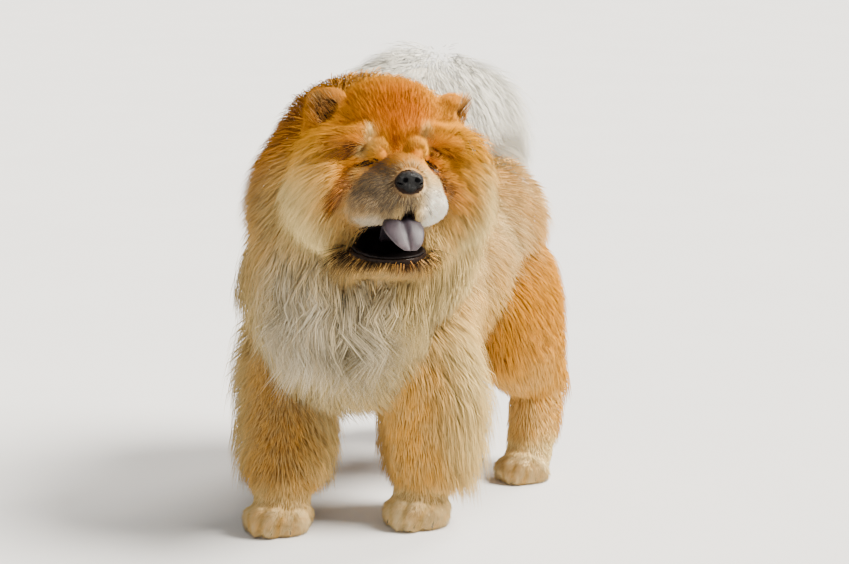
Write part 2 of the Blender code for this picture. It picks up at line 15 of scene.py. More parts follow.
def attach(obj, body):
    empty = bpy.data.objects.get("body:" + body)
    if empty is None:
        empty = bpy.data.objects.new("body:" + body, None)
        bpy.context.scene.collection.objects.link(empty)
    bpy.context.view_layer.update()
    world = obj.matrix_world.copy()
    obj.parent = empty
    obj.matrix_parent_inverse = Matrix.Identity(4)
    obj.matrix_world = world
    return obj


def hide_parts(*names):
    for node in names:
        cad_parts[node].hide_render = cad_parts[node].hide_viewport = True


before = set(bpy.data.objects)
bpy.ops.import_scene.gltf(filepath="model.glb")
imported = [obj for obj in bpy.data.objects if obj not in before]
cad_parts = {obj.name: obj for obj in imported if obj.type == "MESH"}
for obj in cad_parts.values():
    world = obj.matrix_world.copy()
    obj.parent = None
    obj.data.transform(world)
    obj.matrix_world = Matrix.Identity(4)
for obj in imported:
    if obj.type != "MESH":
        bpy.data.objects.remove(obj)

bl_info = {
    "name": "Chow chow",
    "version": (1, 0, 0),
    "blender": (4, 5, 0),
    "location": "3D View > Sidebar > Chow chow",
    "description": "Skin, coat, eyes, nose, mouth and claws of a standing chow chow",
    "category": "Object",
}

# The dog's own frame, whose origin is between the feet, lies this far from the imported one
MIDDLE = Vector((0.0194, 0.0012, 0))

# The head's own frame: x to the dog's left, -y forward along the muzzle, z up
SKULL = Vector((0.113, -0.262, 0.576)) - MIDDLE
HEAD = (
    Matrix.Translation(SKULL)
    @ Matrix.Rotation(math.radians(38.0), 4, "Z")
    @ Matrix.Rotation(-math.radians(12.0), 4, "X")
    @ Matrix.Rotation(math.radians(2.0), 4, "Y")
)
NOSE_TIP = Vector((0, -0.152, -0.034))

# Each leg: the middle of its paw, its side with 1 for the left, and its paw's size and turn
LEGS = {
    "foreleg_right": (Vector((-0.082, -0.247, 0)), -1, 1.08, 0.05),
    "foreleg_left": (Vector((0.092, -0.122, 0)), 1, 1.08, 0.10),
    "hindleg_left": (Vector((0.130, 0.190, 0)), 1, 0.92, 0.10),
    "hindleg_right": (Vector((-0.092, 0.310, 0)), -1, 0.92, -0.05),
}
PAWS = [(foot, size, turn) for foot, _, size, turn in LEGS.values()]

# Each toe's place beside the middle of the foot and its size
TOES = ((-0.030, -0.014, 0.90), (-0.0115, -0.030, 1.0), (0.0115, -0.030, 1.0), (0.030, -0.014, 0.90))


# Settings that a user would change


def number(name, description, default, **limits):
    return bpy.props.FloatProperty(name=name, description=description, default=default, **limits)


def length(name, description, default, largest=0.2):
    return number(name, description, default, min=0.0, max=largest, subtype="DISTANCE", unit="LENGTH")


def share(name, description, default):
    return number(name, description, default, min=0.0, max=1.0, subtype="FACTOR")


def angle(name, description, degrees):
    return number(name, description, math.radians(degrees), subtype="ANGLE")


def colour(name, description, default):
    return bpy.props.FloatVectorProperty(
        name=name, description=description, default=default, min=0.0, max=1.0, size=3, subtype="COLOR"
    )


class ChowSkinSizes(bpy.types.PropertyGroup):
    cell: length("Cell", "Size of the grid that melts the masses into one skin", 0.0031, 0.02)
    torso_fat: length("Torso undercoat", "How far the dense undercoat swells the torso", 0.026)
    ruff_fat: length("Ruff undercoat", "How far the dense undercoat swells the neck", 0.0445)
    tail_fat: length("Tail undercoat", "How far the dense undercoat swells the tail", 0.047)
    eye_radius: length("Eye radius", "Radius of the eyeball", 0.0095, 0.03)
    eye_side: length("Eye side", "How far each eye lies from the middle of the face", 0.0475)
    eye_forward: length("Eye forward", "How far the eyes lie in front of the skull's middle", 0.0705)


class ChowCoatSizes(bpy.types.PropertyGroup):
    body_spacing: length("Body spacing", "Least distance between tufts on the body", 0.0032, 0.02)
    thickness: share("Thickness", "Thickness of a tuft as a share of its width", 0.62)
    unruly: share("Unruly", "How much single tufts stray from the lie of the coat", 0.35)
    swirl: share("Swirl", "How much the lie of the coat wanders", 0.30)
    uneven: share("Uneven", "How much the tufts differ in length", 0.35)


class ChowCoatColours(bpy.types.PropertyGroup):
    gold: colour("Gold", "Most of the body", (0.84, 0.355, 0.008))
    red: colour("Red", "Forehead, ears and the front of the legs", (0.58, 0.145, 0.001))
    cream: colour("Cream", "Ruff, bib and feathering", (0.95, 0.72, 0.30))
    white: colour("White", "Tail and the sides of the muzzle", (1.0, 0.95, 0.80))
    # Grey is the muzzle's own pepper, and is also painted shade on the chest, the front of the forelegs, the
    # ruff's right side, under the jaw, on the muzzle's right side and in the face's hollows
    grey: colour("Grey", "Muzzle round the nose", (0.150, 0.114, 0.078))
    # Dark is also painted shade in the face's hollows, folds and frown, between the beard's locks and in the
    # creases of the paws
    dark: colour("Dark", "Lips, lids and the depth of the ears", (0.018, 0.011, 0.008))


class ChowFaceColours(bpy.types.PropertyGroup):
    nose: colour("Nose", "Leather of the nose", (0.004, 0.004, 0.004))
    lips: colour("Lips", "Lining of the mouth", (0.007, 0.005, 0.005))
    tongue: colour("Tongue", "Upper side of the tongue", (0.076, 0.054, 0.062))
    iris: colour("Iris", "Iris of the eye", (0.055, 0.022, 0.008))
    claws: colour("Claws", "Horn of the claws", (0.15, 0.115, 0.080))


class ChowStageSettings(bpy.types.PropertyGroup):
    azimuth: angle("Azimuth", "Side from which the camera looks", 26)
    elevation: angle("Elevation", "How steeply the camera looks down", 11)
    distance: length("Distance", "Camera to the middle of the dog", 4.2, 20)
    floor: colour("Floor", "Colour of the floor", (0.74, 0.735, 0.72))


# Node trees


def is_vector(value):
    if isinstance(value, Wire):
        return value.socket.type in {"VECTOR", "RGBA", "ROTATION"}
    return isinstance(value, (tuple, Vector))


def operator(operation, swapped=False):
    """A Python operator of a wire, which adds one maths node."""

    def act(self, other):
        return self.maths(operation, other, self) if swapped else self.maths(operation, self, other)

    return act


class Wire:
    """An output of a node."""

    __add__, __radd__ = operator("ADD"), operator("ADD", True)
    __sub__, __rsub__ = operator("SUBTRACT"), operator("SUBTRACT", True)
    __mul__, __rmul__ = operator("MULTIPLY"), operator("MULTIPLY", True)
    __truediv__ = operator("DIVIDE")
    __pow__ = operator("POWER")

    def __init__(self, tree, socket):
        self.tree = tree
        self.socket = socket

    def maths(self, operation, first, second):
        if not (is_vector(first) or is_vector(second)):
            return self.tree.maths(operation, first, second)
        if operation == "MULTIPLY" and not (is_vector(first) and is_vector(second)):
            whole, part = (first, second) if is_vector(first) else (second, first)
            sockets = {"Vector": whole, "Scale": part}
            return self.tree.node("ShaderNodeVectorMath", {"operation": "SCALE"}, sockets)
        return self.tree.vector_maths(operation, first, second)

    def clamped(self):
        return self.tree.node("ShaderNodeClamp", {}, {"Value": self})

    def dot(self, other):
        return self.tree.vector_maths("DOT_PRODUCT", self, other, out="Value")

    def cross(self, other):
        return self.tree.vector_maths("CROSS_PRODUCT", self, other)

    def unit(self):
        return self.tree.vector_maths("NORMALIZE", self)

    def part(self, axis):
        return self.tree.node("ShaderNodeSeparateXYZ", {}, {0: self}, axis)


class Tree:
    """A node tree that is built by calls."""

    def __init__(self, tree):
        self.tree = tree

    def node(self, kind, settings, sockets, out=0):
        """Adds a node of that kind. Its settings are set first, then its sockets' values or links."""
        made = self.tree.nodes.new(kind)
        for key, value in settings.items():
            if key == "stops":
                self.set_stops(made.color_ramp, value)
            else:
                setattr(made, key, value)
        free = [s for s in made.inputs if s.enabled]
        for key, value in sockets.items():
            socket = free[key] if isinstance(key, int) else next(s for s in free if s.name == key)
            if isinstance(value, Wire):
                self.tree.links.new(value.socket, socket)
            else:
                socket.default_value = value
        found = [s for s in made.outputs if s.enabled]
        return Wire(self, found[out] if isinstance(out, int) else next(s for s in found if s.name == out))

    def set_stops(self, ramp, stops):
        """Gives a ramp its stops, each with its place and its colour."""
        while len(ramp.elements) < len(stops):
            ramp.elements.new(0.5)
        for element, (place, tint) in zip(ramp.elements, stops):
            element.position = place
            element.color = (*tint, 1)

    def maths(self, operation, *values):
        return self.node("ShaderNodeMath", {"operation": operation}, dict(enumerate(values)))

    def vector_maths(self, operation, *values, out=0):
        return self.node("ShaderNodeVectorMath", {"operation": operation}, dict(enumerate(values)), out)

    def vector(self, x, y, z):
        return self.node("ShaderNodeCombineXYZ", {}, {0: x, 1: y, 2: z})

    def noise(self, place, scale, detail=2.0, out=0):
        return self.node("ShaderNodeTexNoise", {}, {"Vector": place, "Scale": scale, "Detail": detail}, out)

    def cells(self, place, scale, out, **settings):
        """Scattered cells. out is Distance to a middle or an edge, a middle's Position, or a chance Color."""
        return self.node("ShaderNodeTexVoronoi", settings, {"Vector": place, "Scale": scale}, out)

    def blend(self, amount, first, second, way="MIX"):
        """Mixes two colours."""
        settings = {"data_type": "RGBA", "blend_type": way}
        return self.node("ShaderNodeMix", settings, {0: amount, 1: first, 2: second})

    def span(self, value, low, high, least=0.0, most=1.0):
        """Maps low to high onto least to most, with soft ends."""
        settings = {"interpolation_type": "SMOOTHSTEP"}
        return self.node("ShaderNodeMapRange", settings, {0: value, 1: low, 2: high, 3: least, 4: most})


# Shapes. Each mass is an ellipsoid or a round limb, and melts with the others into the skin

BALL_AROUND, BALL_ALONG, LIMB_AROUND = 36, 22, 28

# How far past a limb's end its last rings lie and how large they are, as shares of the end's own radii
LIMB_END = ((0.45, 0.85), (0.80, 0.50))


def turned(degrees):
    return Euler([math.radians(a) for a in degrees]).to_matrix().to_4x4()


def moved(points, matrix):
    """The points as the matrix moves them."""
    matrix = np.array(matrix)
    return points @ matrix[:3, :3].T + matrix[:3, 3]


@functools.cache
def round_shell(around, along):
    """The points and faces of a sphere of radius 1."""
    bm = bmesh.new()
    bmesh.ops.create_uvsphere(bm, u_segments=around, v_segments=along, radius=1)
    points = np.array([v.co for v in bm.verts])
    faces = [[v.index for v in f.verts] for f in bm.faces]
    bm.free()
    return points, faces


class Ball:
    """An ellipsoid. place is the frame that its centre and its turn in degrees are given in."""

    def __init__(self, centre, radii, turn=(0, 0, 0), place=None):
        self.radii = np.array(radii, float)
        place = Matrix.Translation(-MIDDLE) if place is None else place
        self.matrix = place @ Matrix.Translation(centre) @ turned(turn)

    def shell(self, detail):
        points, faces = round_shell(BALL_AROUND * detail, BALL_ALONG * detail)
        return moved(points * self.radii, self.matrix), faces

    def distance(self, points):
        """Roughly how far each point is outside the ellipsoid."""
        local = moved(points, self.matrix.inverted())
        near = np.linalg.norm(local / self.radii, axis=1)
        slope = np.linalg.norm(local / self.radii**2, axis=1) + 1e-9
        return near * (near - 1) / slope


def tube_faces(rings, around):
    """The faces of a closed tube whose rings of points follow one another."""
    faces = []
    for low in range(0, (rings - 1) * around, around):
        for k in range(around):
            after = (k + 1) % around
            faces.append((low + k, low + after, low + around + after, low + around + k))
    faces.append(tuple(range(around))[::-1])
    faces.append(tuple(range((rings - 1) * around, rings * around)))
    return faces


def beyond(ring, out, shrink):
    """A smaller ring past a limb's end."""
    centre, way, radii = ring
    return centre + way * radii[0] * out, way, [r * shrink for r in radii]


class Limb:
    """A round limb along a line of points, with (across, along) radii at each point and rounded ends."""

    def __init__(self, points, radii):
        self.points = [Vector(p) - MIDDLE for p in points]
        self.radii = radii

    def shell(self, detail):
        around, end = LIMB_AROUND * detail, len(self.points) - 1
        rings = []
        for i, p in enumerate(self.points):
            way = (self.points[min(i + 1, end)] - self.points[max(i - 1, 0)]).normalized()
            rings.append((p, way, self.radii[i]))
        first, last = rings[0], rings[-1]
        for out, shrink in LIMB_END:
            rings.insert(0, beyond(first, -out, shrink))
            rings.append(beyond(last, out, shrink))
        angles = [math.tau * k / around for k in range(around)]
        points = []
        for centre, way, (across, along) in rings:
            fore = way.cross(Vector((1, 0, 0))).normalized()
            side = fore.cross(way).normalized()
            points += [centre + side * across * math.cos(a) + fore * along * math.sin(a) for a in angles]
        return np.array(points), tube_faces(len(rings), around)

    def nearest(self, points):
        """For each point, its gap to the limb's surface, its place along the line, and its foot on it."""
        best = np.full(len(points), 1e9)
        along = np.zeros(len(points))
        foot = np.zeros((len(points), 3))
        for i in range(len(self.points) - 1):
            a, b = np.array(self.points[i]), np.array(self.points[i + 1])
            t = np.clip((points - a) @ (b - a) / ((b - a) @ (b - a)), 0, 1)
            on_line = a + t[:, None] * (b - a)
            radius = (1 - t) * np.mean(self.radii[i]) + t * np.mean(self.radii[i + 1])
            gap = np.linalg.norm(points - on_line, axis=1) - radius
            closer = gap < best
            best = np.where(closer, gap, best)
            along = np.where(closer, i + t, along)
            foot[closer] = on_line[closer]
        return best, along, foot

    def distance(self, points):
        return self.nearest(points)[0]


def gap_to(masses, points):
    """How far each point is outside the nearest of the masses."""
    return np.min([m.distance(points) for m in masses], axis=0)


def in_head(centre, radii, turn=(0, 0, 0)):
    """A ball whose centre and turn are given in the head's frame."""
    return Ball(centre, radii, turn, HEAD)


def head_pair(centre, radii, turn=(0, 0, 0)):
    """A ball on the left of the head and its mirror image on the right."""
    (x, y, z), (a, b, c) = centre, turn
    return [in_head((x, y, z), radii, (a, b, c)), in_head((-x, y, z), radii, (a, -b, -c))]


def swollen(fat, *balls):
    """Balls that the undercoat makes larger by its depth, or by a share of it."""
    return [Ball(centre, [r + fat * part for r in radii]) for centre, radii, part in balls]


def torso_masses(fat):
    return swollen(
        fat,
        ((0, -0.090, 0.360), (0.112, 0.165, 0.130), 1),
        ((0.006, -0.190, 0.360), (0.098, 0.080, 0.115), 1),
        ((0, 0.060, 0.372), (0.106, 0.150, 0.112), 1),
        ((0.002, 0.185, 0.375), (0.106, 0.104, 0.112), 1),
        ((0.052, 0.180, 0.425), (0.058, 0.088, 0.060), 1),
        ((-0.052, 0.180, 0.425), (0.058, 0.088, 0.060), 1),
    )


def ruff_masses(fat):
    return swollen(
        fat,
        ((0.030, -0.174, 0.490), (0.114, 0.086, 0.108), 1),
        ((0.016, -0.213, 0.412), (0.100, 0.062, 0.090), 0.8),
        ((0.017, -0.142, 0.549), (0.090, 0.064, 0.080), 1),
        ((0.040, -0.185, 0.552), (0.080, 0.060, 0.064), 0.8),
    )


# The tail's line, and at each point its radius and how much of the undercoat's depth swells it
TAIL = (
    ((0.004, 0.248, 0.465), 0.026, 0.30), ((0.004, 0.252, 0.522), 0.025, 0.55),
    ((-0.012, 0.216, 0.572), 0.023, 0.90), ((-0.032, 0.150, 0.598), 0.021, 1.10),
    ((-0.034, 0.078, 0.586), 0.017, 0.95),
)


def tail_masses(fat):
    radii = [r + fat * part for _, r, part in TAIL]
    return [Limb([p for p, _, _ in TAIL], [(r * 1.2, r * 0.95) for r in radii])]


def foreleg_limb(foot, side):
    elbow = Vector((0.106 * side, -0.150 + 0.15 * (foot.y + 0.185), 0.235))
    wrist = foot + Vector((0.002 * side, 0.016, 0.072))
    low = foot + Vector((0, 0.006, 0.040))
    line = (Vector((0.088 * side, -0.145, 0.320)), elbow, (elbow + wrist) / 2, wrist, low)
    return Limb(line, ((0.056, 0.064), (0.055, 0.062), (0.049, 0.054), (0.041, 0.043), (0.038, 0.040)))


def hindleg_limb(foot, side):
    hip = Vector((0.076 * side, 0.200, 0.345))
    stifle = Vector((0.114 * side, 0.110 + 0.25 * foot.y, 0.262))
    hock = foot + Vector((-0.003 * side, 0.050, 0.150))
    calf = stifle.lerp(hock, 0.6)
    low = foot + Vector((0, 0.022, 0.040))
    line = (hip, stifle.lerp(hip, 0.35), stifle.lerp(calf, 0.4), calf, hock, hock.lerp(low, 0.5), low)
    thigh = ((0.076, 0.088), (0.077, 0.096), (0.062, 0.080))
    return Limb(line, (*thigh, (0.049, 0.058), (0.035, 0.040), (0.032, 0.035), (0.034, 0.036)))


def leg_limb(name):
    foot, side, _, _ = LEGS[name]
    return foreleg_limb(foot, side) if name.startswith("fore") else hindleg_limb(foot, side)


def paw_place(foot, size, turn):
    return Matrix.Translation(foot - MIDDLE) @ Matrix.Rotation(turn, 4, "Z") @ Matrix.Scale(size, 4)


def paw_masses(foot, size, turn):
    place = paw_place(foot, 1, turn)
    masses = [
        Ball((0, 0.003 * size, 0.027 * size), [r * size for r in (0.038, 0.038, 0.029)], place=place),
        Ball((0, 0.018 * size, 0.022 * size), [r * size for r in (0.036, 0.032, 0.027)], place=place),
    ]
    for x, y, s in TOES:
        toe = [r * s * size for r in (0.0140, 0.0255, 0.0215)]
        masses.append(Ball((x * size, y * size, 0.0205 * s * size), toe, (0, 0, -x * 500), place))
    return masses


def skull_masses(sizes):
    return [
        in_head((0, 0.005, 0.022), (0.090, 0.088, 0.080)),
        *head_pair((0.058, 0.014, 0.040), (0.046, 0.060, 0.046)),
        in_head((0, -0.038, -0.018), (0.076, 0.053, 0.056)),
        in_head((0, 0.000, -0.088), (0.080, 0.070, 0.050)),
        *head_pair((0.066, -0.012, -0.042), (0.058, 0.056, 0.062)),
        *head_pair((0.080, -0.036, -0.012), (0.032, 0.040, 0.058), (0, 0, -20)),
        # Brows, the puffs beside the frown, the lids and the folds under them
        *head_pair((0.064, -0.062, 0.029), (0.036, 0.028, 0.0145), (0, 10, -20)),
        in_head((-0.032, -0.084, 0.0095), (0.0120, 0.0165, 0.0130)),
        in_head((0.0225, -0.086, 0.0100), (0.0115, 0.0165, 0.0130)),
        *head_pair((sizes.eye_side, -0.0725, 0.0030), (0.021, 0.0145, 0.0085), (0, 20, -14)),
        *head_pair((sizes.eye_side, -0.0710, -0.0165), (0.024, 0.0160, 0.0100), (0, 22, -14)),
        *head_pair((0.066, -0.060, -0.036), (0.026, 0.020, 0.016), (0, 40, -20)),
    ]


MUZZLE = (
    in_head((-0.003, -0.086, -0.050), (0.060, 0.064, 0.045)),
    in_head((0, -0.124, -0.046), (0.036, 0.030, 0.030)),
    in_head((0, -0.092, -0.026), (0.038, 0.056, 0.0315)),
    in_head((0, -0.120, -0.066), (0.036, 0.028, 0.0250)),
    in_head((-0.039, -0.080, -0.063), (0.0340, 0.056, 0.0275)),
    in_head((0.032, -0.088, -0.064), (0.0300, 0.052, 0.0260)),
)
JAW = (
    in_head((-0.016, -0.066, -0.130), (0.056, 0.062, 0.0210), (10, 0, 0)),
    in_head((-0.014, -0.103, -0.138), (0.038, 0.031, 0.0150), (8, 0, 0)),
)


def ear_balls(*balls):
    """The same balls in each ear, from its root. The left ear is turned aside, the right faces forward."""
    found = []
    for lean, root in (((10, 5, 60), (0.078, 0.000, 0.006)), ((10, -8, -14), (-0.080, -0.004, 0.012))):
        place = HEAD @ Matrix.Translation(root) @ turned(lean)
        found += [Ball(centre, radii, place=place) for centre, radii in balls]
    return found


EARS = ear_balls(
    ((0, 0.000, 0.070), (0.0275, 0.0135, 0.025)),
    ((0, 0.008, 0.046), (0.034, 0.020, 0.029)),
    ((0, 0.003, 0.060), (0.0320, 0.0165, 0.026)),
)
EAR_CUPS = ear_balls(((0, -0.0165, 0.062), (0.0215, 0.0165, 0.0230)))
MOUTH = in_head((-0.016, -0.082, -0.1165), (0.056, 0.082, 0.0275), (4, 0, 0))

# The upper lip's edge rises to a point under the nose, slowly on the right and steeply on the left
CLEFT = (
    in_head((0.000, -0.150, -0.094), (0.0075, 0.055, 0.024)),
    in_head((-0.019, -0.150, -0.101), (0.0270, 0.055, 0.0120), (0, -36, 0)),
)


def all_masses(sizes):
    """The masses of each part of the body, by its name."""
    return {
        "torso": torso_masses(sizes.torso_fat),
        "ruff": ruff_masses(sizes.ruff_fat),
        "tail": tail_masses(sizes.tail_fat),
        **{name: [leg_limb(name)] for name in LEGS},
        "paws": [m for paw in PAWS for m in paw_masses(*paw)],
        "skull": skull_masses(sizes),
        "muzzle": MUZZLE,
        "jaw": JAW,
        "ears": EARS,
    }


# Mesh tools


def linked(name, data):
    made = bpy.data.objects.new(name, data)
    bpy.context.scene.collection.objects.link(made)
    return made


def object_of(name, bm):
    mesh = bpy.data.meshes.new(name)
    bm.to_mesh(mesh)
    bm.free()
    return linked(name, mesh)


def shells(name, parts):
    """One mesh of closed shells of points and faces, which may overlap."""
    points, faces = [], []
    for part_points, part_faces in parts:
        start = len(points)
        points += [tuple(p) for p in part_points]
        faces += [[start + k for k in face] for face in part_faces]
    mesh = bpy.data.meshes.new(name)
    mesh.from_pydata(points, [], faces)
    bm = bmesh.new()
    bm.from_mesh(mesh)
    bmesh.ops.recalc_face_normals(bm, faces=bm.faces)
    return object_of(name, bm)


def joined(name, masses, detail=1):
    return shells(name, [m.shell(detail) for m in masses])


def add_step(obj, kind, **settings):
    """Adds a modifier."""
    step = obj.modifiers.new(kind.lower(), kind)
    for key, value in settings.items():
        setattr(step, key, value)


def applied(obj):
    """Leaves obj with its evaluated mesh and no modifiers."""
    bpy.context.view_layer.update()
    graph = bpy.context.evaluated_depsgraph_get()
    made = bpy.data.meshes.new_from_object(obj.evaluated_get(graph))
    obj.modifiers.clear()
    old, obj.data = obj.data, made
    bpy.data.meshes.remove(old)
    return obj


def melt(obj, cell, rounds):
    """Turns overlapping closed shells into one skin, and smooths it."""
    add_step(obj, "REMESH", mode="VOXEL", voxel_size=cell)
    add_step(obj, "SMOOTH", factor=0.5, iterations=rounds)
    return applied(obj)


def combine(obj, other, operation):
    """One Boolean of obj with other, which is then removed."""
    add_step(obj, "BOOLEAN", operation=operation, object=other, solver="MANIFOLD")
    applied(obj)
    bpy.data.objects.remove(other)


def carve(obj, *balls):
    """Cuts one ball after another out of obj."""
    for ball in balls:
        combine(obj, joined("opening", [ball]), "DIFFERENCE")


def read(items, key, width, kind=np.float32):
    """A row of numbers from each of a mesh's items."""
    flat = np.empty(len(items) * width, kind)
    items.foreach_get(key, flat)
    return flat.reshape(-1, width)


def positions(mesh):
    return read(mesh.vertices, "co", 3).astype(float)


def edges_of(mesh):
    return read(mesh.edges, "vertices", 2, np.int32).T


def keep_largest(obj):
    """Drops every loose shell but the one with the most points."""
    mesh = obj.data
    label = np.arange(len(mesh.vertices))
    a, b = edges_of(mesh)
    while True:
        least = np.minimum(label[a], label[b])
        before = label.copy()
        np.minimum.at(label, a, least)
        np.minimum.at(label, b, least)
        label = label[label]
        if np.array_equal(label, before):
            break
    largest = np.bincount(label).argmax()
    if (label != largest).any():
        bm = bmesh.new()
        bm.from_mesh(mesh)
        scraps = [v for v, name in zip(bm.verts, label) if name != largest]
        bmesh.ops.delete(bm, geom=scraps, context="VERTS")
        bm.to_mesh(mesh)
        bm.free()


def spread(mesh, values, rounds):
    """Evens out one row of values for each point over the mesh's edges."""
    a, b = edges_of(mesh)
    points = len(values)
    count = np.bincount(a, minlength=points) + np.bincount(b, minlength=points) + 1.0
    columns = values.reshape(points, -1).astype(float)
    for _ in range(rounds):
        total = columns.copy()
        for k in range(columns.shape[1]):
            total[:, k] += np.bincount(a, columns[b, k], points) + np.bincount(b, columns[a, k], points)
        columns = total / count[:, None]
    return columns.reshape(values.shape)


def store(mesh, name, values, domain="POINT"):
    """Keeps one number, or one vector, for each point or corner."""
    kind = {1: "FLOAT", 2: "FLOAT2", 3: "FLOAT_VECTOR"}[values.shape[1] if values.ndim > 1 else 1]
    made = mesh.attributes.new(name, kind, domain)
    made.data.foreach_set("value" if kind == "FLOAT" else "vector", values.astype(np.float32).ravel())


def unit(vectors):
    return vectors / (np.linalg.norm(vectors, axis=1)[:, None] + 1e-9)


def soft(values, low, high):
    """0 below low and 1 above high, with a smooth change between."""
    t = np.clip((values - low) / (high - low), 0, 1)
    return t * t * (3 - 2 * t)


def fade(values, low, high):
    """1 below low and 0 above high."""
    return 1 - soft(values, low, high)


def rows(*columns):
    return np.stack(np.broadcast_arrays(*[np.atleast_1d(np.asarray(c, float)) for c in columns]), axis=1)


def mixed(first, second, part):
    return first * (1 - part)[:, None] + second * part[:, None]


# The coat over the skin: how long it is, how it lies and how it is marked


class Place:
    """Where the skin's points are, in the dog's own frame and in the head's."""

    def __init__(self, points):
        self.points = points
        self.x, self.y, self.z = (points + np.array(MIDDLE)).T
        self.head = moved(points, HEAD.inverted())
        self.hx, self.hy, self.hz = self.head.T

    def near(self, centre, radius):
        """1 at a point in the head's frame, and 0 from radius on. radius is one size or three."""
        return fade(np.linalg.norm((self.head - np.array(centre)) / np.array(radius), axis=1), 0.0, 1.0)

    def pair(self, centre, radius):
        """The same on both sides of the face."""
        x, y, z = centre
        return np.maximum(self.near((x, y, z), radius), self.near((-x, y, z), radius))

    def lines(self, *found):
        """1 along any of the lines in the head's frame, seen from the front, and 0 from its radius on."""
        return np.maximum.reduce([self.line(*line) for line in found])

    def line(self, ax, az, bx, bz, radius):
        t = ((self.hx - ax) * (bx - ax) + (self.hz - az) * (bz - az)) / ((bx - ax) ** 2 + (bz - az) ** 2)
        t = np.clip(t, 0, 1)
        gap = np.hypot(self.hx - ax - t * (bx - ax), self.hz - az - t * (bz - az))
        return fade(gap, 0.25 * radius, radius) * (self.hy < -0.02)

    def away(self, centre):
        """The way from a point in the head's frame."""
        return unit(self.head - np.array(centre))

    def beside(self, limb):
        """How far each point is to the left of the limb's line, and behind it."""
        line = limb.nearest(self.points)[2] + np.array(MIDDLE)
        return self.x - line[:, 0], self.y - line[:, 1]


def coat(size, lay, lie, in_head_frame=False, **marks):
    """One part's coat.

    size is how far its tufts rise and reach and how wide they are, lay how much they gather into locks, wave
    and hang, lie the way they point, and marks how strongly each colour shows.
    """
    if in_head_frame:
        lie = lie @ np.array(HEAD)[:3, :3].T
    return {"size": rows(*size), "lay": rows(*lay), "lie": lie, "marks": marks}


def torso_coat(p):
    belly = fade(p.z, 0.24, 0.32)
    front = fade(p.y, -0.22, -0.12)
    back = soft(p.y, 0.10, 0.26)
    return coat(
        (0.021 + 0.010 * belly, 0.030 + 0.006 * belly, 0.0018), (0.12, 0.0, 0.005),
        rows(p.x * 0.4, 0.75, -0.75 + 0.6 * belly),
        # Painted shade: the grey low on the front of the chest, under the bib. Painted light: the white high
        # on the left flank, which faces the key lamp.
        cream=0.50 + 0.40 * front * fade(p.z, 0.36, 0.46) - 0.25 * back,
        red=0.75 * belly * soft(p.y, -0.17, -0.11) + 0.05 * back, grey=0.44 * front * fade(p.z, 0.32, 0.40),
        white=0.12 * soft(p.x, 0.03, 0.12) * soft(p.z, 0.30, 0.42) * (1 - front),
    )


def ruff_coat(p):
    """The mane, and the bib and beard on its front, whose locks part over painted shade between them."""
    x, y, z = p.x - 0.037, p.y + 0.172, p.z - 0.496
    bib = fade(p.z, 0.42, 0.50) * fade(p.y, -0.20, -0.12)
    above = soft(z, 0.02, 0.12)
    beard = bib * fade(abs(x), 0.055, 0.100) * soft(p.z, 0.34, 0.40)
    shade = soft(-x, 0.02, 0.10) * (1 - bib)
    # Painted shade: the gaps between the beard's locks are darker and greyer, and the bib beside and below
    # the beard is greyer
    streaks = np.sin(p.x * 210 + 2.4 * np.sin(p.z * 36)) + 0.4 * np.sin(p.x * 470 + p.z * 60)
    gaps = soft(streaks, 0.40, 0.90) * beard
    rise = 0.025 - 0.003 * bib + 0.020 * beard - 0.008 * above
    return coat(
        (rise, 0.040 + 0.013 * bib + 0.050 * beard, 0.0016 + 0.0006 * bib + 0.0010 * above),
        (0.12 + 0.10 * bib + 0.68 * beard, 0.001 + 0.003 * bib + 0.021 * beard, 0.008 + 0.014 * beard),
        mixed(unit(rows(x * 2.0, 0.10 + y * 1.2, z * 2.0 - 0.16)), unit(rows(x * 1.2, -0.10, -1.0)), bib),
        cream=0.78 - 0.60 * above + 0.15 * bib - 0.34 * shade, red=0.40 * above + 0.20 * shade,
        white=0.78 * beard * (1 - gaps), grey=0.42 * (bib - beard) + 0.32 * shade + 0.50 * gaps,
        dark=0.70 * gaps,
    )


def tail_coat(p):
    x, y, z = p.x + 0.022, p.y - 0.170, p.z - 0.545
    root = fade(p.z, 0.535, 0.575)
    top = np.clip((p.z - 0.58) / 0.04, 0, 1)
    return coat(
        (0.026 + 0.012 * top, 0.024 + 0.014 * np.minimum(1, abs(x) / 0.05), 0.0016), (0.12, 0.001, 0.006),
        mixed(unit(rows(x * 2.0, y * 0.8 + 0.01, 0.5 * z - 0.01)), unit(rows(x, 0.10, -0.10)), root),
        white=1.0, cream=0.8,
    )


def foreleg_coat(p, name):
    """Short in front, with long feathers behind and a cuff over the paw."""
    side = LEGS[name][1]
    x, y = p.beside(leg_limb(name))
    outer = np.clip((y + 0.75 * x * side) / 0.036 + 0.40, 0, 1)
    inner = np.clip((y - 0.80 * x * side) / 0.040 + 0.10, 0, 1) * 0.6
    behind = np.maximum(outer, inner) * soft(p.z, 0.080, 0.120)
    low = fade(p.z, 0.055, 0.090)
    cuff = soft(p.z, 0.064, 0.082) * fade(p.z, 0.098, 0.125)
    rise = 0.009 + 0.036 * behind - 0.005 * low + 0.005 * cuff
    reach = 0.014 + 0.046 * behind - 0.005 * low + 0.010 * cuff
    # Painted shade: the grey on the front of the legs, heavier on the right leg, which stands away from the
    # key lamp. The side term in the feathers' cream is painted light too: the left leg's feathers, in the
    # lamp's light, are less cream.
    return coat(
        (rise, reach, 0.0015 - 0.0001 * low), (0.12 + 0.12 * behind, 0.0, 0.008 * behind),
        rows(x * (5 + 13 * behind), np.maximum(0, y) * 12, -1),
        cream=0.36 + (0.55 - 0.10 * side) * behind + 0.45 * low, red=0.20 * (1 - behind) * (1 - low),
        grey=(0.17 - 0.07 * side) * (1 - 0.6 * low) * (1 - 0.7 * behind),
    )


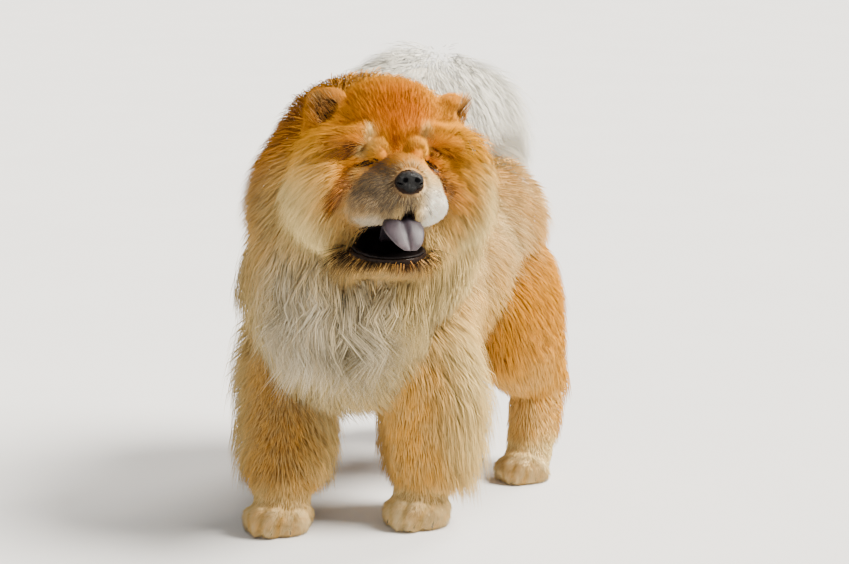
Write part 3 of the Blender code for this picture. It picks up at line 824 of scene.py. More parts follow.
def hindleg_coat(p, name):
    _, y = p.beside(leg_limb(name))
    thigh = soft(p.z, 0.12, 0.32)
    heel = (1 - thigh) * soft(p.z, 0.06, 0.10) * np.clip(y / 0.03 + 0.2, 0, 1)
    low = fade(p.z, 0.05, 0.09)
    rise = 0.008 + 0.016 * heel + thigh * 0.008
    reach = 0.017 + 0.030 * heel + 0.013 * thigh
    return coat(
        (rise - 0.004 * low, reach - 0.009 * low, 0.0018 - 0.0003 * low), (0.10, 0.0, 0.005),
        rows(p.x * 1.5, 0.45 + 0.4 * heel, -0.9),
        cream=0.05 + 0.65 * low + 0.45 * thigh * soft(p.y, 0.22, 0.32) + 0.35 * (1 - thigh) * (1 - heel),
        red=0.30 * (1 - low),
    )


def paw_coat(p):
    """Short hair over the toes, with a shadow in the creases between them and behind them."""
    crease = np.zeros(len(p.x))
    for paw in PAWS:
        x, y, z = moved(p.points, paw_place(*paw).inverted()).T
        here = (abs(x) < 0.06) * (abs(y) < 0.08)
        between = np.min([abs(x), abs(abs(x) - 0.0215)], axis=0)
        toes = fade(between, 0.0010, 0.0042) * soft(-y, 0.014, 0.026) * fade(z, 0.034, 0.046)
        behind = fade(abs(y + 0.0130 + 0.25 * abs(x)), 0.0015, 0.0060) * soft(z, 0.026, 0.034)
        crease = np.maximum(crease, here * np.maximum(toes, 0.8 * behind))
    return coat(
        (0.0074, 0.0135, 0.0010), (0.05, 0.0, 0.0), rows(0, -1.0, -0.55),
        cream=0.72 - 0.10 * crease, white=0.20 * (1 - crease), red=0.15 + 0.10 * crease, grey=0.10 * crease,
        dark=0.10 * crease,
    )


def skull_coat(p):
    """Cream brows and cheeks, a red forehead, and painted shade in the furrows, hollows and folds."""
    cheek = soft(abs(p.hx), 0.055, 0.100) * fade(p.hz, 0.02, 0.07)
    crown = soft(p.hz, 0.045, 0.095)
    jowl = fade(p.hz, -0.10, -0.05)
    outside = np.maximum(cheek, jowl)
    eye = p.pair((0.048, -0.080, 0.000), (0.045, 0.050, 0.036))
    brow = p.lines((-0.038, 0.030, -0.052, 0.010, 0.0135), (0.034, 0.030, 0.041, 0.017, 0.0110))
    puff = np.maximum(p.near((-0.031, -0.095, 0.008), 0.017), p.near((0.0225, -0.095, 0.009), 0.016))
    # Painted shade: the frown, the hollows under the brows and the folds under the eyes are darker, redder
    # and less cream
    frown = p.lines((-0.006, 0.006, -0.006, 0.042, 0.0085))
    hollow = p.lines((-0.060, 0.014, -0.075, 0.020, 0.0150), (0.048, 0.008, 0.068, 0.012, 0.0125))
    folds = p.lines(
        (-0.062, -0.010, -0.086, -0.056, 0.0065), (-0.064, -0.030, -0.080, -0.054, 0.0050),
        (0.045, -0.009, 0.068, -0.042, 0.0065), (0.052, -0.030, 0.064, -0.056, 0.0050),
    )
    under = p.lines((-0.045, -0.016, -0.062, -0.020, 0.010), (0.036, -0.018, 0.048, -0.028, 0.008))
    forehead = p.near((0, -0.060, 0.055), (0.085, 0.085, 0.065))
    edge = soft(abs(p.hx), 0.070, 0.110) * fade(p.hz, -0.02, 0.04)
    blush = p.pair((0.066, -0.090, -0.048), (0.040, 0.060, 0.034))
    cream = 0.02 + 0.92 * edge + 0.52 * brow + 0.08 * puff + 0.6 * jowl + 0.5 * under
    red = 0.38 + 0.75 * forehead + 0.35 * blush + 0.5 * frown + 0.5 * hollow + 0.6 * folds
    return coat(
        (
            0.0055 + 0.014 * crown + 0.018 * outside - 0.0035 * eye,
            0.0125 + 0.007 * crown + 0.021 * outside - 0.0065 * eye,
            0.00105 + 0.0004 * np.maximum(crown, outside) - 0.0002 * eye,
        ),
        (0.10 + 0.10 * outside, 0.0, 0.004 * outside),
        p.away(NOSE_TIP) + rows(0, 0, -0.9) * cheek[:, None] + rows(0, 0.2, -0.5) * jowl[:, None], True,
        cream=np.clip(cream - 0.5 * folds - 0.5 * frown, 0, 1),
        red=np.clip(red - 0.35 * outside - 0.35 * puff - 0.4 * brow, 0, 1),
        dark=np.clip(0.62 * hollow + 0.75 * folds + 0.36 * frown, 0, 0.80), grey=0.25 * hollow + 0.10 * folds,
    )


def muzzle_coat(p):
    """Grey round the nose and on the right side, white on the left, with red on the bridge. The right side's
    grey is partly its own pepper and partly painted shade.
    """
    bridge = soft(p.hz, -0.034, -0.010) * soft(p.hy, -0.158, -0.134)
    side = soft(abs(p.hx + 0.004), 0.014, 0.036) * fade(p.hz, -0.058, -0.028)
    # The right side, away from the key lamp, is painted greyer and less white: partly the muzzle's own grey
    # and partly painted shade
    near = fade(p.hx, -0.030, 0.000)
    front = fade(p.hy, -0.095, -0.060)
    nose = p.near((-0.004, -0.150, -0.038), (0.046, 0.044, 0.044))
    beside = p.near((-0.036, -0.118, -0.040), (0.050, 0.070, 0.042)) * near
    below = p.near((0.001, -0.150, -0.066), (0.014, 0.050, 0.034))
    lip = near * front * fade(p.hz, -0.084, -0.070)
    grey = 0.85 * nose * (1 - 0.75 * side) * (1 - 0.8 * bridge) + 0.90 * beside * (1 - 0.4 * side)
    return coat(
        (0.0028 + 0.003 * (1 - front), 0.0078 + 0.006 * (1 - front), 0.00095), (0.06, 0.0, 0.0),
        p.away(NOSE_TIP) + rows(0, 0.3, -0.25), True,
        cream=0.70 - 0.62 * bridge - 0.25 * near * (1 - lip), red=0.36 * bridge + 0.35 * near * (1 - front),
        white=np.clip(0.95 * side * front * (1 - 0.88 * near) + 0.12 * (1 - bridge) + 0.40 * lip, 0, 0.95),
        grey=np.clip(grey + 0.95 * below + 0.66 * near * front - 0.38 * lip, 0, 0.88),
    )


def jaw_coat(p):
    back = soft(p.hy, -0.120, -0.060)
    wet = p.near((0.006, -0.140, -0.142), (0.040, 0.045, 0.026))
    rim = fade(MOUTH.distance(p.points), 0.0030, 0.0110)
    # The grey under the jaw, strongest at its front, is partly the muzzle's own grey and partly painted shade
    # under the jaw
    return coat(
        (0.004 + 0.008 * back, 0.012 + 0.022 * back, 0.0014), (0.30, 0.0, 0.006 * back),
        p.away((0, -0.16, -0.11)) + rows(0, 0.2, -0.8), True,
        cream=0.75 - 0.4 * wet - 0.3 * rim, red=0.25 + 0.4 * wet, grey=0.45 * (1 - 0.5 * back),
        dark=np.clip(0.40 * wet + 0.85 * rim, 0, 0.9),
    )


def ear_coat(p):
    cup = np.clip(1 - gap_to(EAR_CUPS, p.points) / 0.003, 0, 1)
    return coat(
        (0.0034 + 0.006 * cup, 0.006 + 0.010 * cup, 0.0012 - 0.0001 * cup), (0.15, 0.0, 0.0),
        rows(np.sign(p.hx) * 0.25, 0.25, 0.6), True,
        cream=0.05 + 0.30 * cup, red=0.50 + 0.30 * cup, dark=0.72 * cup,
    )


# The grey and dark marks carry the coat's own colours and also painted shade
MARKS = ("red", "cream", "white", "grey", "dark")

# How quickly one part's coat passes into the next
SEAM, FINE_SEAM = 0.012, 0.007


def coat_of(parts, p):
    """Blends the parts' coats over the skin. Near a seam each part counts by how near it is."""
    coats = {
        "torso": torso_coat(p),
        "ruff": ruff_coat(p),
        "tail": tail_coat(p),
        **{name: (foreleg_coat if name.startswith("fore") else hindleg_coat)(p, name) for name in LEGS},
        "paws": paw_coat(p),
        "skull": skull_coat(p),
        "muzzle": muzzle_coat(p),
        "jaw": jaw_coat(p),
        "ears": ear_coat(p),
    }
    gaps = np.stack([gap_to(parts[name], p.points) for name in coats])
    sharp = [FINE_SEAM if name in {"muzzle", "jaw", "ears", "skull", "paws"} else SEAM for name in coats]
    weights = np.exp(-np.clip((gaps - gaps.min(0)) / np.array(sharp)[:, None], 0, 30))
    weights /= weights.sum(0)
    blended = {"part": np.array(list(coats))[weights.argmax(0)]}
    for key in ("size", "lay", "lie"):
        layers = [unit(c[key]) if key == "lie" else c[key] for c in coats.values()]
        blended[key] = sum(w[:, None] * layer for w, layer in zip(weights, layers))
    for mark in MARKS:
        blended[mark] = sum(w * c["marks"].get(mark, 0.0) for w, c in zip(weights, coats.values()))
    return blended


# Each piece of the coat: its spacing as a share of the body's, its rings, the size of its locks and its slot
COATS = {
    "coat_face": (0.335, 1, 0.005, "head_coat"),
    "coat_head": (0.40, 2, 0.008, "head_coat"),
    "coat_ruff": (0.588, 2, 0.012, "ruff_coat"),
    "coat_bib": (0.60, 4, 0.030, "ruff_coat"),
    "coat_chest": (0.72, 2, 0.010, "body_coat"),
    "coat_rump": (0.80, 2, 0.010, "body_coat"),
    "coat_tail": (0.56, 2, 0.010, "tail_coat"),
    "coat_forelegs": (0.67, 2, 0.008, "leg_coat"),
    "coat_hindlegs": (0.84, 2, 0.008, "leg_coat"),
    "coat_paws": (0.31, 1, 0.005, "paw_coat"),
}
PIECES = list(COATS)


def piece_of(blended, p):
    """Which piece of the coat each point of the skin carries."""
    part, short = blended["part"], blended["size"][:, 1] < 0.024
    chosen = {
        "coat_face": np.isin(part, ["muzzle", "jaw", "ears"]) | ((part == "skull") & short),
        "coat_ruff": part == "ruff",
        "coat_bib": (part == "ruff") & (p.z < 0.47) & (p.y < -0.17),
        "coat_rump": part == "torso",
        "coat_chest": (part == "torso") & (p.y < 0.04),
        "coat_tail": part == "tail",
        "coat_forelegs": np.char.startswith(part, "foreleg"),
        "coat_hindlegs": np.char.startswith(part, "hindleg"),
        "coat_paws": part == "paws",
    }
    piece = np.full(len(part), PIECES.index("coat_head"), np.int32)
    for name, here in chosen.items():
        piece[here] = PIECES.index(name)
    return piece


def disc(points, centre, axis, up):
    """Unwraps points onto a disc: the angle from axis is the distance from the disc's middle."""
    away = unit(points - np.array(centre))
    axis, up = np.array(axis), np.array(up)
    side = np.cross(axis, up)
    out = np.arccos(np.clip(away @ axis, -1, 1)) / math.pi
    turn = np.arctan2(away @ up, away @ side)
    return rows(0.5 + 0.49 * out * np.cos(turn), 0.5 + 0.49 * out * np.sin(turn))


def unrolled(points, limb):
    """Unrolls points from a limb: the turn about its line, and the place along it."""
    _, along, foot = limb.nearest(points)
    step = np.minimum(along.astype(int), len(limb.points) - 2)
    line = np.array([list(q) for q in limb.points])
    way = unit(line[step + 1] - line[step])
    fore = unit(np.cross(way, (1.0, 0, 0)))
    away = points - foot
    past = np.einsum("ij,ij->i", away, way)
    turn = np.arctan2(np.einsum("ij,ij->i", away, fore), away[:, 0]) / math.tau
    return rows(turn, (along + past / 0.10 + 0.6) / (len(limb.points) + 0.2))


def torso_roll(points):
    """Unrolls points from the torso, and spreads its round ends."""
    x, y, z = (points - np.array(Vector((0, 0, 0.365)) - MIDDLE)).T
    past = 0.8 * (np.hypot(x, z) - 0.15)
    return rows(np.arctan2(x, z) / math.tau, 0.5 + np.where(y < 0, y + past, y - past))


def rolls_of(name, middle):
    """The ways in which a piece is unrolled, each with the points that take it."""
    every = np.ones(len(middle), bool)
    if name == "coat_tail":
        return [(every, functools.partial(unrolled, limb=tail_masses(0.04)[0]))]
    if name in {"coat_chest", "coat_rump"}:
        return [(every, torso_roll)]
    leg, left = name[len("coat_"):-1], middle[:, 0] > 0
    sides = ((~left, "_right"), (left, "_left"))
    return [(chosen, functools.partial(unrolled, limb=leg_limb(leg + side))) for chosen, side in sides]


def unwrap(corners, centres, piece):
    """The place of each face's corners on the unwrap of its piece. No face spans the seam of a turn."""
    flat = np.zeros((len(corners), 3, 2))
    for index, name in enumerate(PIECES):
        here = piece == index
        points = corners[here].reshape(-1, 3)
        middle = np.repeat(centres[here], 3, axis=0)
        place = np.zeros((len(points), 2))
        if name in {"coat_face", "coat_head"}:
            place = disc(points, SKULL, -np.array(HEAD)[:3, 1], np.array(HEAD)[:3, 2])
        elif name in {"coat_ruff", "coat_bib"}:
            place = disc(points, Vector((0.037, -0.172, 0.470)) - MIDDLE, (0, -1, 0), (0, 0, 1))
        elif name == "coat_paws":
            for k, (foot, _, _) in enumerate(PAWS):
                mine = np.linalg.norm(middle[:, :2] - np.array(foot - MIDDLE)[:2], axis=1) < 0.09
                quarter = disc(points[mine], foot - MIDDLE + Vector((0, 0, 0.012)), (0, 0, 1), (0, 1, 0))
                place[mine] = quarter * 0.5 + np.array((0.5 * (k % 2), 0.5 * (k // 2)))
        else:
            rolls = rolls_of(name, middle)
            for k, (chosen, roll) in enumerate(rolls):
                mine, core = roll(points[chosen]), roll(middle[chosen])
                turn = core[:, 0] + (mine[:, 0] - core[:, 0] + 0.5) % 1.0 - 0.5
                place[chosen] = rows(0.04 + (0.92 * (turn + 0.5) + k) / len(rolls), mine[:, 1])
        flat[here] = place.reshape(-1, 3, 2)
    return flat.reshape(-1, 2)


def describe(obj, sizes):
    """Stores on the skin what its coat needs: size, lay, lie, marks, pieces and the unwrap."""
    mesh = obj.data
    points = positions(mesh)
    out = unit(spread(mesh, read(mesh.vertices, "normal", 3), 14))
    p = Place(points)
    blended = coat_of(all_masses(sizes), p)
    lie = spread(mesh, blended["lie"], 8)
    lie = unit(lie - out * np.einsum("ij,ij->i", lie, out)[:, None])

    # Bare leather at the mouth, the lids, the nose and the soles
    mouth = gap_to((MOUTH, *CLEFT), points)
    slit = gap_to(eye_slits(sizes), points)
    nose = in_head(NOSE_TIP, (0.0200, 0.017, 0.0165)).distance(points)
    sole = fade(p.z, 0.003, 0.008) * fade(out[:, 2], -0.6, -0.2)
    lower = fade(p.hz, -0.118, -0.106) * (abs(p.hx) < 0.08)
    lips = fade(mouth, 0.0012 - 0.0004 * lower, 0.0034 - 0.0012 * lower)
    bare = np.maximum.reduce([lips, fade(slit, 0.0008, 0.0024), fade(nose, 0.0000, 0.0020), sole])
    black = [fade(mouth, 0.0024, 0.0044), fade(slit, 0.0014, 0.0030), fade(nose, 0.001, 0.003)]
    store(mesh, "out", out)
    store(mesh, "lie", lie)
    store(mesh, "size", spread(mesh, blended["size"], 3))
    store(mesh, "lay", spread(mesh, blended["lay"], 6))
    store(mesh, "cover", (1 - bare) * np.where(gap_to(EAR_CUPS, points) < 0.0015, 0.5, 1.0))
    for mark in MARKS[:-1]:
        store(mesh, "mark_" + mark, np.clip(spread(mesh, blended[mark], 2), 0, 1))
    store(mesh, "mark_dark", np.clip(np.maximum.reduce([blended["dark"], *black]), 0, 1))

    # Each face goes to the piece that most of its corners have
    corner = read(mesh.loops, "vertex_index", 1, np.int32).reshape(-1, 3)
    piece = piece_of(blended, p)
    chosen = np.stack([(piece[corner] == k).sum(1) for k in range(len(PIECES))]).argmax(0)
    made = mesh.attributes.new("piece", "INT", "FACE")
    made.data.foreach_set("value", chosen.astype(np.int32))
    corners = points[corner]
    store(mesh, "unwrap", unwrap(corners, corners.mean(1), chosen), "CORNER")


def eye_places(sizes):
    """The middle of each eye ball, left then right, and the slope of its slit in degrees."""
    return (
        ((sizes.eye_side - 0.0020, -sizes.eye_forward, -0.0070), 30),
        ((-sizes.eye_side - 0.0025, -sizes.eye_forward, -0.0040), -18),
    )


def eye_slits(sizes):
    """The opening between the lids of each eye, which is nearly closed and slopes down outwards."""
    return [
        in_head((x, y - 0.014, z - 0.0005), (0.0130, 0.016, 0.0016), (0, slope, 0))
        for (x, y, z), slope in eye_places(sizes)
    ]


# The share of faces that the skin keeps away from the head and the paws, and the room round an eye ball
COARSE_SHARE, EYE_ROOM = 0.16, 0.0006


def build_skin(sizes):
    """One closed skin from all the masses, opened at mouth, ears and eyes. Also its solid before that."""
    skin = joined("skin", [m for part in all_masses(sizes).values() for m in part])
    melt(skin, sizes.cell, 3)
    solid = linked("head_solid", skin.data.copy())
    carve(skin, MOUTH, *CLEFT, *EAR_CUPS)
    melt(skin, sizes.cell, 3)
    p = Place(positions(skin.data))
    from_face = np.linalg.norm(p.head - np.array((0, -0.05, 0)), axis=1)
    fine = np.maximum(fade(from_face, 0.12, 0.15), fade(p.z, 0.05, 0.07))
    group = skin.vertex_groups.new(name="coarse")
    for level in range(5):
        chosen = np.nonzero(np.round((1 - fine) * 4) == level)[0]
        group.add([int(i) for i in chosen], level / 4, "REPLACE")
    ratio = fine.mean() + COARSE_SHARE * (1 - fine.mean())
    add_step(skin, "DECIMATE", vertex_group="coarse", ratio=ratio, use_collapse_triangulate=True)
    applied(skin)
    skin.vertex_groups.clear()
    sockets = [in_head(middle, [sizes.eye_radius + EYE_ROOM] * 3) for middle, _ in eye_places(sizes)]
    carve(skin, *eye_slits(sizes), *sockets)
    bm = bmesh.new()
    bmesh.ops.create_cube(bm, size=2.0)
    bmesh.ops.translate(bm, vec=(0, 0, -1.0), verts=bm.verts)
    combine(skin, object_of("floor_cut", bm), "DIFFERENCE")
    add_step(skin, "TRIANGULATE", quad_method="BEAUTY")
    applied(skin)
    keep_largest(skin)
    skin.data.shade_smooth()
    describe(skin, sizes)
    return skin, solid


# The coat's node tree, which combs closed, tapered tufts over the skin

# How high above the floor every tuft stays
LEAST_HEIGHT = 0.0006

# The tree's inputs, each with the kind of its socket and its default
COAT_INPUTS = (
    ("Skin", "Geometry", None), ("Piece", "Int", 0), ("Spacing", "Float", 0.0036), ("Rings", "Int", 3),
    ("Thickness", "Float", 0.35), ("Unruly", "Float", 0.2), ("Swirl", "Float", 0.3),
    ("Uneven", "Float", 0.35), ("Clump Size", "Float", 0.014), ("Seed", "Int", 1),
    ("Finish", "Material", None),
)


def coat_tree():
    group = bpy.data.node_groups.new("comb_coat", "GeometryNodeTree")
    group.is_modifier = True
    for name, kind, default in COAT_INPUTS:
        socket = group.interface.new_socket(name, in_out="INPUT", socket_type="NodeSocket" + kind)
        if default is not None:
            socket.default_value = default
    group.interface.new_socket("Coat", in_out="OUTPUT", socket_type="NodeSocketGeometry")
    tree = Tree(group)
    inputs = group.nodes.new("NodeGroupInput")
    given = {s.name: Wire(tree, s) for s in inputs.outputs if s.name}

    def named(name, kind="FLOAT_VECTOR"):
        return tree.node("GeometryNodeInputNamedAttribute", {"data_type": kind}, {"Name": name})

    def keep(geometry, name, value, kind="FLOAT_VECTOR", domain="POINT"):
        sockets = {"Geometry": geometry, "Name": name, "Value": value}
        return tree.node("GeometryNodeStoreNamedAttribute", {"data_type": kind, "domain": domain}, sockets)

    def placed_at(geometry, spot):
        return tree.node("GeometryNodeSetPosition", {}, {"Geometry": geometry, "Position": spot})

    # Roots
    equal = {"data_type": "INT", "operation": "EQUAL"}
    roots = tree.node("GeometryNodeDistributePointsOnFaces", {"distribute_method": "POISSON"}, {
        "Mesh": given["Skin"], "Seed": given["Seed"], "Distance Min": given["Spacing"],
        "Selection": tree.node("FunctionNodeCompare", equal, {0: named("piece", "INT"), 1: given["Piece"]}),
        "Density Max": (given["Spacing"] ** -2.0) * 2.0, "Density Factor": named("cover", "FLOAT"),
    })
    place = tree.node("GeometryNodeInputPosition", {}, {})
    roots = keep(roots, "root", place)
    sockets = {"Min": (0.0, 0.0, 0.0), "Max": (1.0, 1.0, 1.0), "Seed": given["Seed"]}
    chance = tree.node("FunctionNodeRandomValue", {"data_type": "FLOAT_VECTOR"}, sockets)
    roots = keep(roots, "chance", chance)
    roots = placed_at(roots, (0.0, 0.0, 0.0))

    # One tuft for each root, all at the origin: z is the way along it
    tuft = tree.node("GeometryNodeMeshCone", {"fill_type": "NGON"}, {
        "Vertices": 3, "Side Segments": given["Rings"], "Radius Top": 0.0, "Radius Bottom": 1.0, "Depth": 1.0,
    })
    tufts = tree.node("GeometryNodeInstanceOnPoints", {}, {"Points": roots, "Instance": tuft})
    fur = keep(tree.node("GeometryNodeRealizeInstances", {}, {"Geometry": tufts}), "tuft", place)

    # Every point finds its place from its root
    form, root, chance = named("tuft"), named("root"), named("chance")
    out, size, lay = named("out").unit(), named("size"), named("lay")
    along = form.part("Z")
    luck, stray, thrive = chance.part("X"), chance.part("Y"), chance.part("Z")
    middle = (0.5, 0.5, 0.5)
    wander = tree.noise(root, 9.0, 1.0, "Color") - middle
    sockets = {"Vector": root * 1000.0}
    wild = tree.node("ShaderNodeTexWhiteNoise", {"noise_dimensions": "3D"}, sockets, "Color")
    lie = named("lie") + wander * (given["Swirl"] * 2.2) + (wild - middle) * given["Unruly"]
    lie = (lie - out * lie.dot(out)).unit()
    side = out.cross(lie)
    longer = 1.0 + given["Uneven"] * (thrive - 0.55) + 0.5 * (tree.noise(root, 30.0, 1.0) - 0.5)
    rise = size.part("X") * longer * (1.0 + 0.5 * (stray - 0.5))
    reach = size.part("Y") * longer
    width = size.part("Z") * (1.0 + 0.5 * (luck - 0.5))
    sink = 0.004 * (rise * 60.0).clamped()
    lift = 1.0 - (1.0 - along) ** 1.6
    spine = root + out * ((rise + sink) * lift - sink) + lie * (reach * along**1.25)

    # Tufts near one another lean together into locks, and wave together
    in_cells = root / tree.vector(*[given["Clump Size"]] * 3)
    tint = tree.cells(in_cells, 1.0, "Color")
    lean = tree.cells(in_cells, 1.0, "Position") * given["Clump Size"] - root
    lean = lean - out * lean.dot(out)
    spine = spine + lean * (lay.part("X") * along**1.2)
    wave = tree.maths("SINE", along * 9.0 + tint.part("X") * 6.28) * along
    spine = spine + side * (wave * lay.part("Y") * (0.5 + tint.part("Y")))
    spine = spine - tree.vector(0.0, 0.0, lay.part("Z") * along * along)

    # The tuft's own flat, tapered section, which stays above the floor
    above = (out * reach - lie * rise).unit()
    across = side + above * ((luck - 0.5) * 1.6)
    flat = tree.vector(form.part("X"), form.part("Y"), 0.0).unit()
    broad = width * (1.0 - along * along) * (0.75 + 0.55 * along + 1.1 * (1.0 - along) ** 3.0) * 0.62
    section = across.unit() * (flat.part("Y") * broad) + above * (flat.part("X") * broad * given["Thickness"])
    spot = spine + section
    height = tree.maths("MAXIMUM", spot.part("Z"), LEAST_HEIGHT)
    fur = placed_at(fur, tree.vector(spot.part("X"), spot.part("Y"), height))

    # Each tuft is a small patch at its root's place on the skin's unwrap
    patch = named("unwrap") + tree.vector(form.part("X") * 0.0014, (along - 0.5) * 0.003, 0.0)
    fur = keep(fur, "OFBake", patch, "FLOAT2", "CORNER")
    fur = tree.node("GeometryNodeSetMaterial", {}, {"Geometry": fur, "Material": given["Finish"]})
    output = group.nodes.new("NodeGroupOutput")
    group.links.new(fur.socket, output.inputs["Coat"])
    return group


def comb(skin, group, name, settings):
    """One piece of the coat, as a plain mesh."""
    fur = linked(name, skin.data.copy())
    modifier = fur.modifiers.new("comb", "NODES")
    modifier.node_group = group
    for item in group.interface.items_tree:
        if item.item_type == "SOCKET" and item.in_out == "INPUT" and item.name in settings:
            modifier[item.identifier] = settings[item.name]
    applied(fur)
    attributes = fur.data.attributes
    for spent in ("lie", "size", "lay", "cover", "unwrap", "piece"):
        if spent in attributes:
            attributes.remove(attributes[spent])
    return fur


# Finishes


class Finish(Tree):
    """A material with one Principled shader, and the tree that feeds it."""

    def __init__(self, name, roughness, specular=0.5, **values):
        self.material = bpy.data.materials.new(name)
        self.material.use_nodes = True
        super().__init__(self.material.node_tree)
        self.shader = self.tree.nodes["Principled BSDF"]
        values = {"roughness": roughness, "specular_ior_level": specular, **values}
        for socket in self.shader.inputs:
            key = socket.name.lower().replace(" ", "_")
            if key in values:
                socket.default_value = values[key]

    def feed(self, socket, value):
        self.tree.links.new(value.socket, self.shader.inputs[socket])

    def place(self):
        return self.node("ShaderNodeTexCoord", {}, {}, "Object")

    def attribute(self, name, out="Fac"):
        return self.node("ShaderNodeAttribute", {"attribute_name": name}, {}, out)

    def bump(self, strength, distance, height):
        sockets = {"Strength": strength, "Distance": distance, "Height": height}
        self.feed("Normal", self.node("ShaderNodeBump", {}, sockets))


def opaque(tint, factor=1.0):
    """A colour, made darker or brighter by a factor."""
    return (*[min(1.0, factor * c) for c in tint], 1.0)


def marked(finish, place, colours, pepper=1.0):
    """The coat's colour at a place on the skin, from its marks, with the soft unevenness of real fur."""
    patches = finish.noise(place, 16.0, 3.0) - 0.5
    streaks = finish.noise(place, 110.0, 2.0) - 0.5

    def mark(name, wander):
        """A mark whose edge is ragged, and which leaves what it doesn't reach alone."""
        even = finish.attribute("mark_" + name)
        ragged = even * (1.0 - even) * 4.0 * wander
        return (even + ragged * (patches * 0.9 + streaks * 0.8)).clamped()

    tint = finish.blend(mark("red", 0.7), opaque(colours.gold), opaque(colours.red))
    tint = finish.blend(mark("cream", 0.9), tint, opaque(colours.cream))
    tint = finish.blend(mark("white", 0.5), tint, opaque(colours.white))
    tint = finish.blend((mark("grey", 0.8) * pepper).clamped(), tint, opaque(colours.grey))

    # Dots on the white of the muzzle, from which the whiskers grow
    from_nose = finish.vector_maths("DISTANCE", place, tuple(HEAD @ NOSE_TIP), out="Value")
    dots = 1.0 - finish.span(finish.cells(place, 120.0, "Distance"), 0.20, 0.32)
    dotted = dots * finish.span(from_nose, 0.018, 0.026) * (1.0 - finish.span(from_nose, 0.048, 0.062))
    white = (finish.attribute("mark_white") * 2.0).clamped()
    return finish.blend(dotted * white * 0.85, tint, opaque(colours.grey))


def coat_finish(colours):
    """Fur with painted shade that darkens it towards its root, with tufts of unlike brightness that take the
    light as one surface.
    """
    finish = Finish("coat", 0.70, 0.0)
    root = finish.attribute("root", "Vector")
    form, chance = finish.attribute("tuft", "Vector"), finish.attribute("chance", "Vector")
    luck = chance.part("X")
    white = finish.attribute("mark_white")
    tint = marked(finish, root, colours, 0.45 + 1.1 * chance.part("Z"))
    # Painted shade deep in the coat: each tuft darkens towards its root, much less on white
    stops = ((0.0, (0.62, 0.48, 0.36)), (0.40, (0.92, 0.87, 0.80)), (1.0, (1.0, 1.0, 1.0)))
    depth = finish.node("ShaderNodeValToRGB", {"stops": stops}, {0: form.part("Z")})
    tint = finish.blend(1.0 - white * 0.80, tint, depth, "MULTIPLY")
    lock_of_hair = finish.cells(root, 75.0, "Color").part("X")
    tint = tint * (0.80 + 0.22 * luck + 0.20 * lock_of_hair + 0.10 * white)
    shown = 1.0 - finish.span(luck, 0.66, 0.74) * 0.85
    finish.feed("Base Color", finish.blend(finish.attribute("mark_dark") * shown, tint, opaque(colours.dark)))
    facing = finish.node("ShaderNodeNewGeometry", {}, {}, "Normal")
    world = {"vector_type": "NORMAL", "convert_from": "OBJECT", "convert_to": "WORLD"}
    out = finish.node("ShaderNodeVectorTransform", world, {0: finish.attribute("out", "Vector")})
    finish.feed("Normal", (facing * 0.32 + out * 0.68).unit())
    return finish.material


def skin_finish(colours):
    """The skin under the coat, in the same marks painted darker as shade between the tufts, and bare black
    leather at lips and lids and in the ears.
    """
    finish = Finish("skin", 0.6, 0.0)
    place = finish.place()
    white = finish.attribute("mark_white")
    tint = marked(finish, place, colours)
    # Painted shade: the skin is darker than the coat so that the gaps between the tufts look shaded, less so
    # under white
    tint = finish.blend(1.0 - white * 0.6, tint, (0.72, 0.60, 0.48, 1.0), "MULTIPLY")
    dark = finish.span(finish.attribute("mark_dark"), 0.15, 0.75)
    finish.feed("Base Color", finish.blend(dark, tint, opaque(colours.dark)))
    finish.feed("Roughness", finish.span(dark, 0.0, 1.0, 0.75, 0.42))
    finish.feed("Coat Weight", dark * dark * 0.12)
    finish.bump(0.5, 0.002, finish.noise(place, 420.0, 4.0))
    return finish.material


def nose_finish(colours):
    finish = Finish("nose_leather", 0.36, 0.20)
    place = finish.place()
    cracks = finish.span(finish.cells(place, 620.0, "Distance", feature="DISTANCE_TO_EDGE"), 0.0, 0.22)
    finish.feed("Base Color", finish.blend(cracks, (0.004, 0.004, 0.004, 1.0), opaque(colours.nose)))
    finish.feed("Roughness", finish.span(finish.noise(place, 160.0), 0.3, 0.7, 0.26, 0.46))
    finish.bump(0.6, 0.0008, cracks)
    return finish.material


def lip_finish(colours):
    finish = Finish("lip_leather", 0.5, 0.10)
    place = finish.place()
    mottle = finish.noise(place, 60.0, 4.0)
    pale = finish.span(mottle, 0.45, 0.70)
    finish.feed("Base Color", finish.blend(pale, opaque(colours.lips), (0.018, 0.011, 0.010, 1.0)))
    finish.feed("Roughness", finish.span(mottle, 0.3, 0.7, 0.42, 0.62))
    finish.bump(0.4, 0.001, finish.noise(place, 300.0, 4.0))
    return finish.material


def tongue_finish(colours):
    finish = Finish("tongue_flesh", 0.45, subsurface_weight=0.08, subsurface_scale=0.004)
    place = finish.place()
    mottle = finish.noise(place, 70.0, 4.0)
    pale = finish.span(mottle, 0.3, 0.7)
    tint = finish.blend(pale, opaque(colours.tongue, 0.62), opaque(colours.tongue, 1.22))
    # Painted shade: the tongue darkens towards its root inside the mouth and along the groove on its top
    finish.feed("Base Color", finish.blend(finish.attribute("deep"), tint, (0.020, 0.014, 0.020, 1.0)))
    finish.feed("Roughness", finish.span(mottle, 0.3, 0.7, 0.36, 0.55))
    finish.bump(0.5, 0.0006, finish.cells(place, 900.0, "Distance"))
    return finish.material


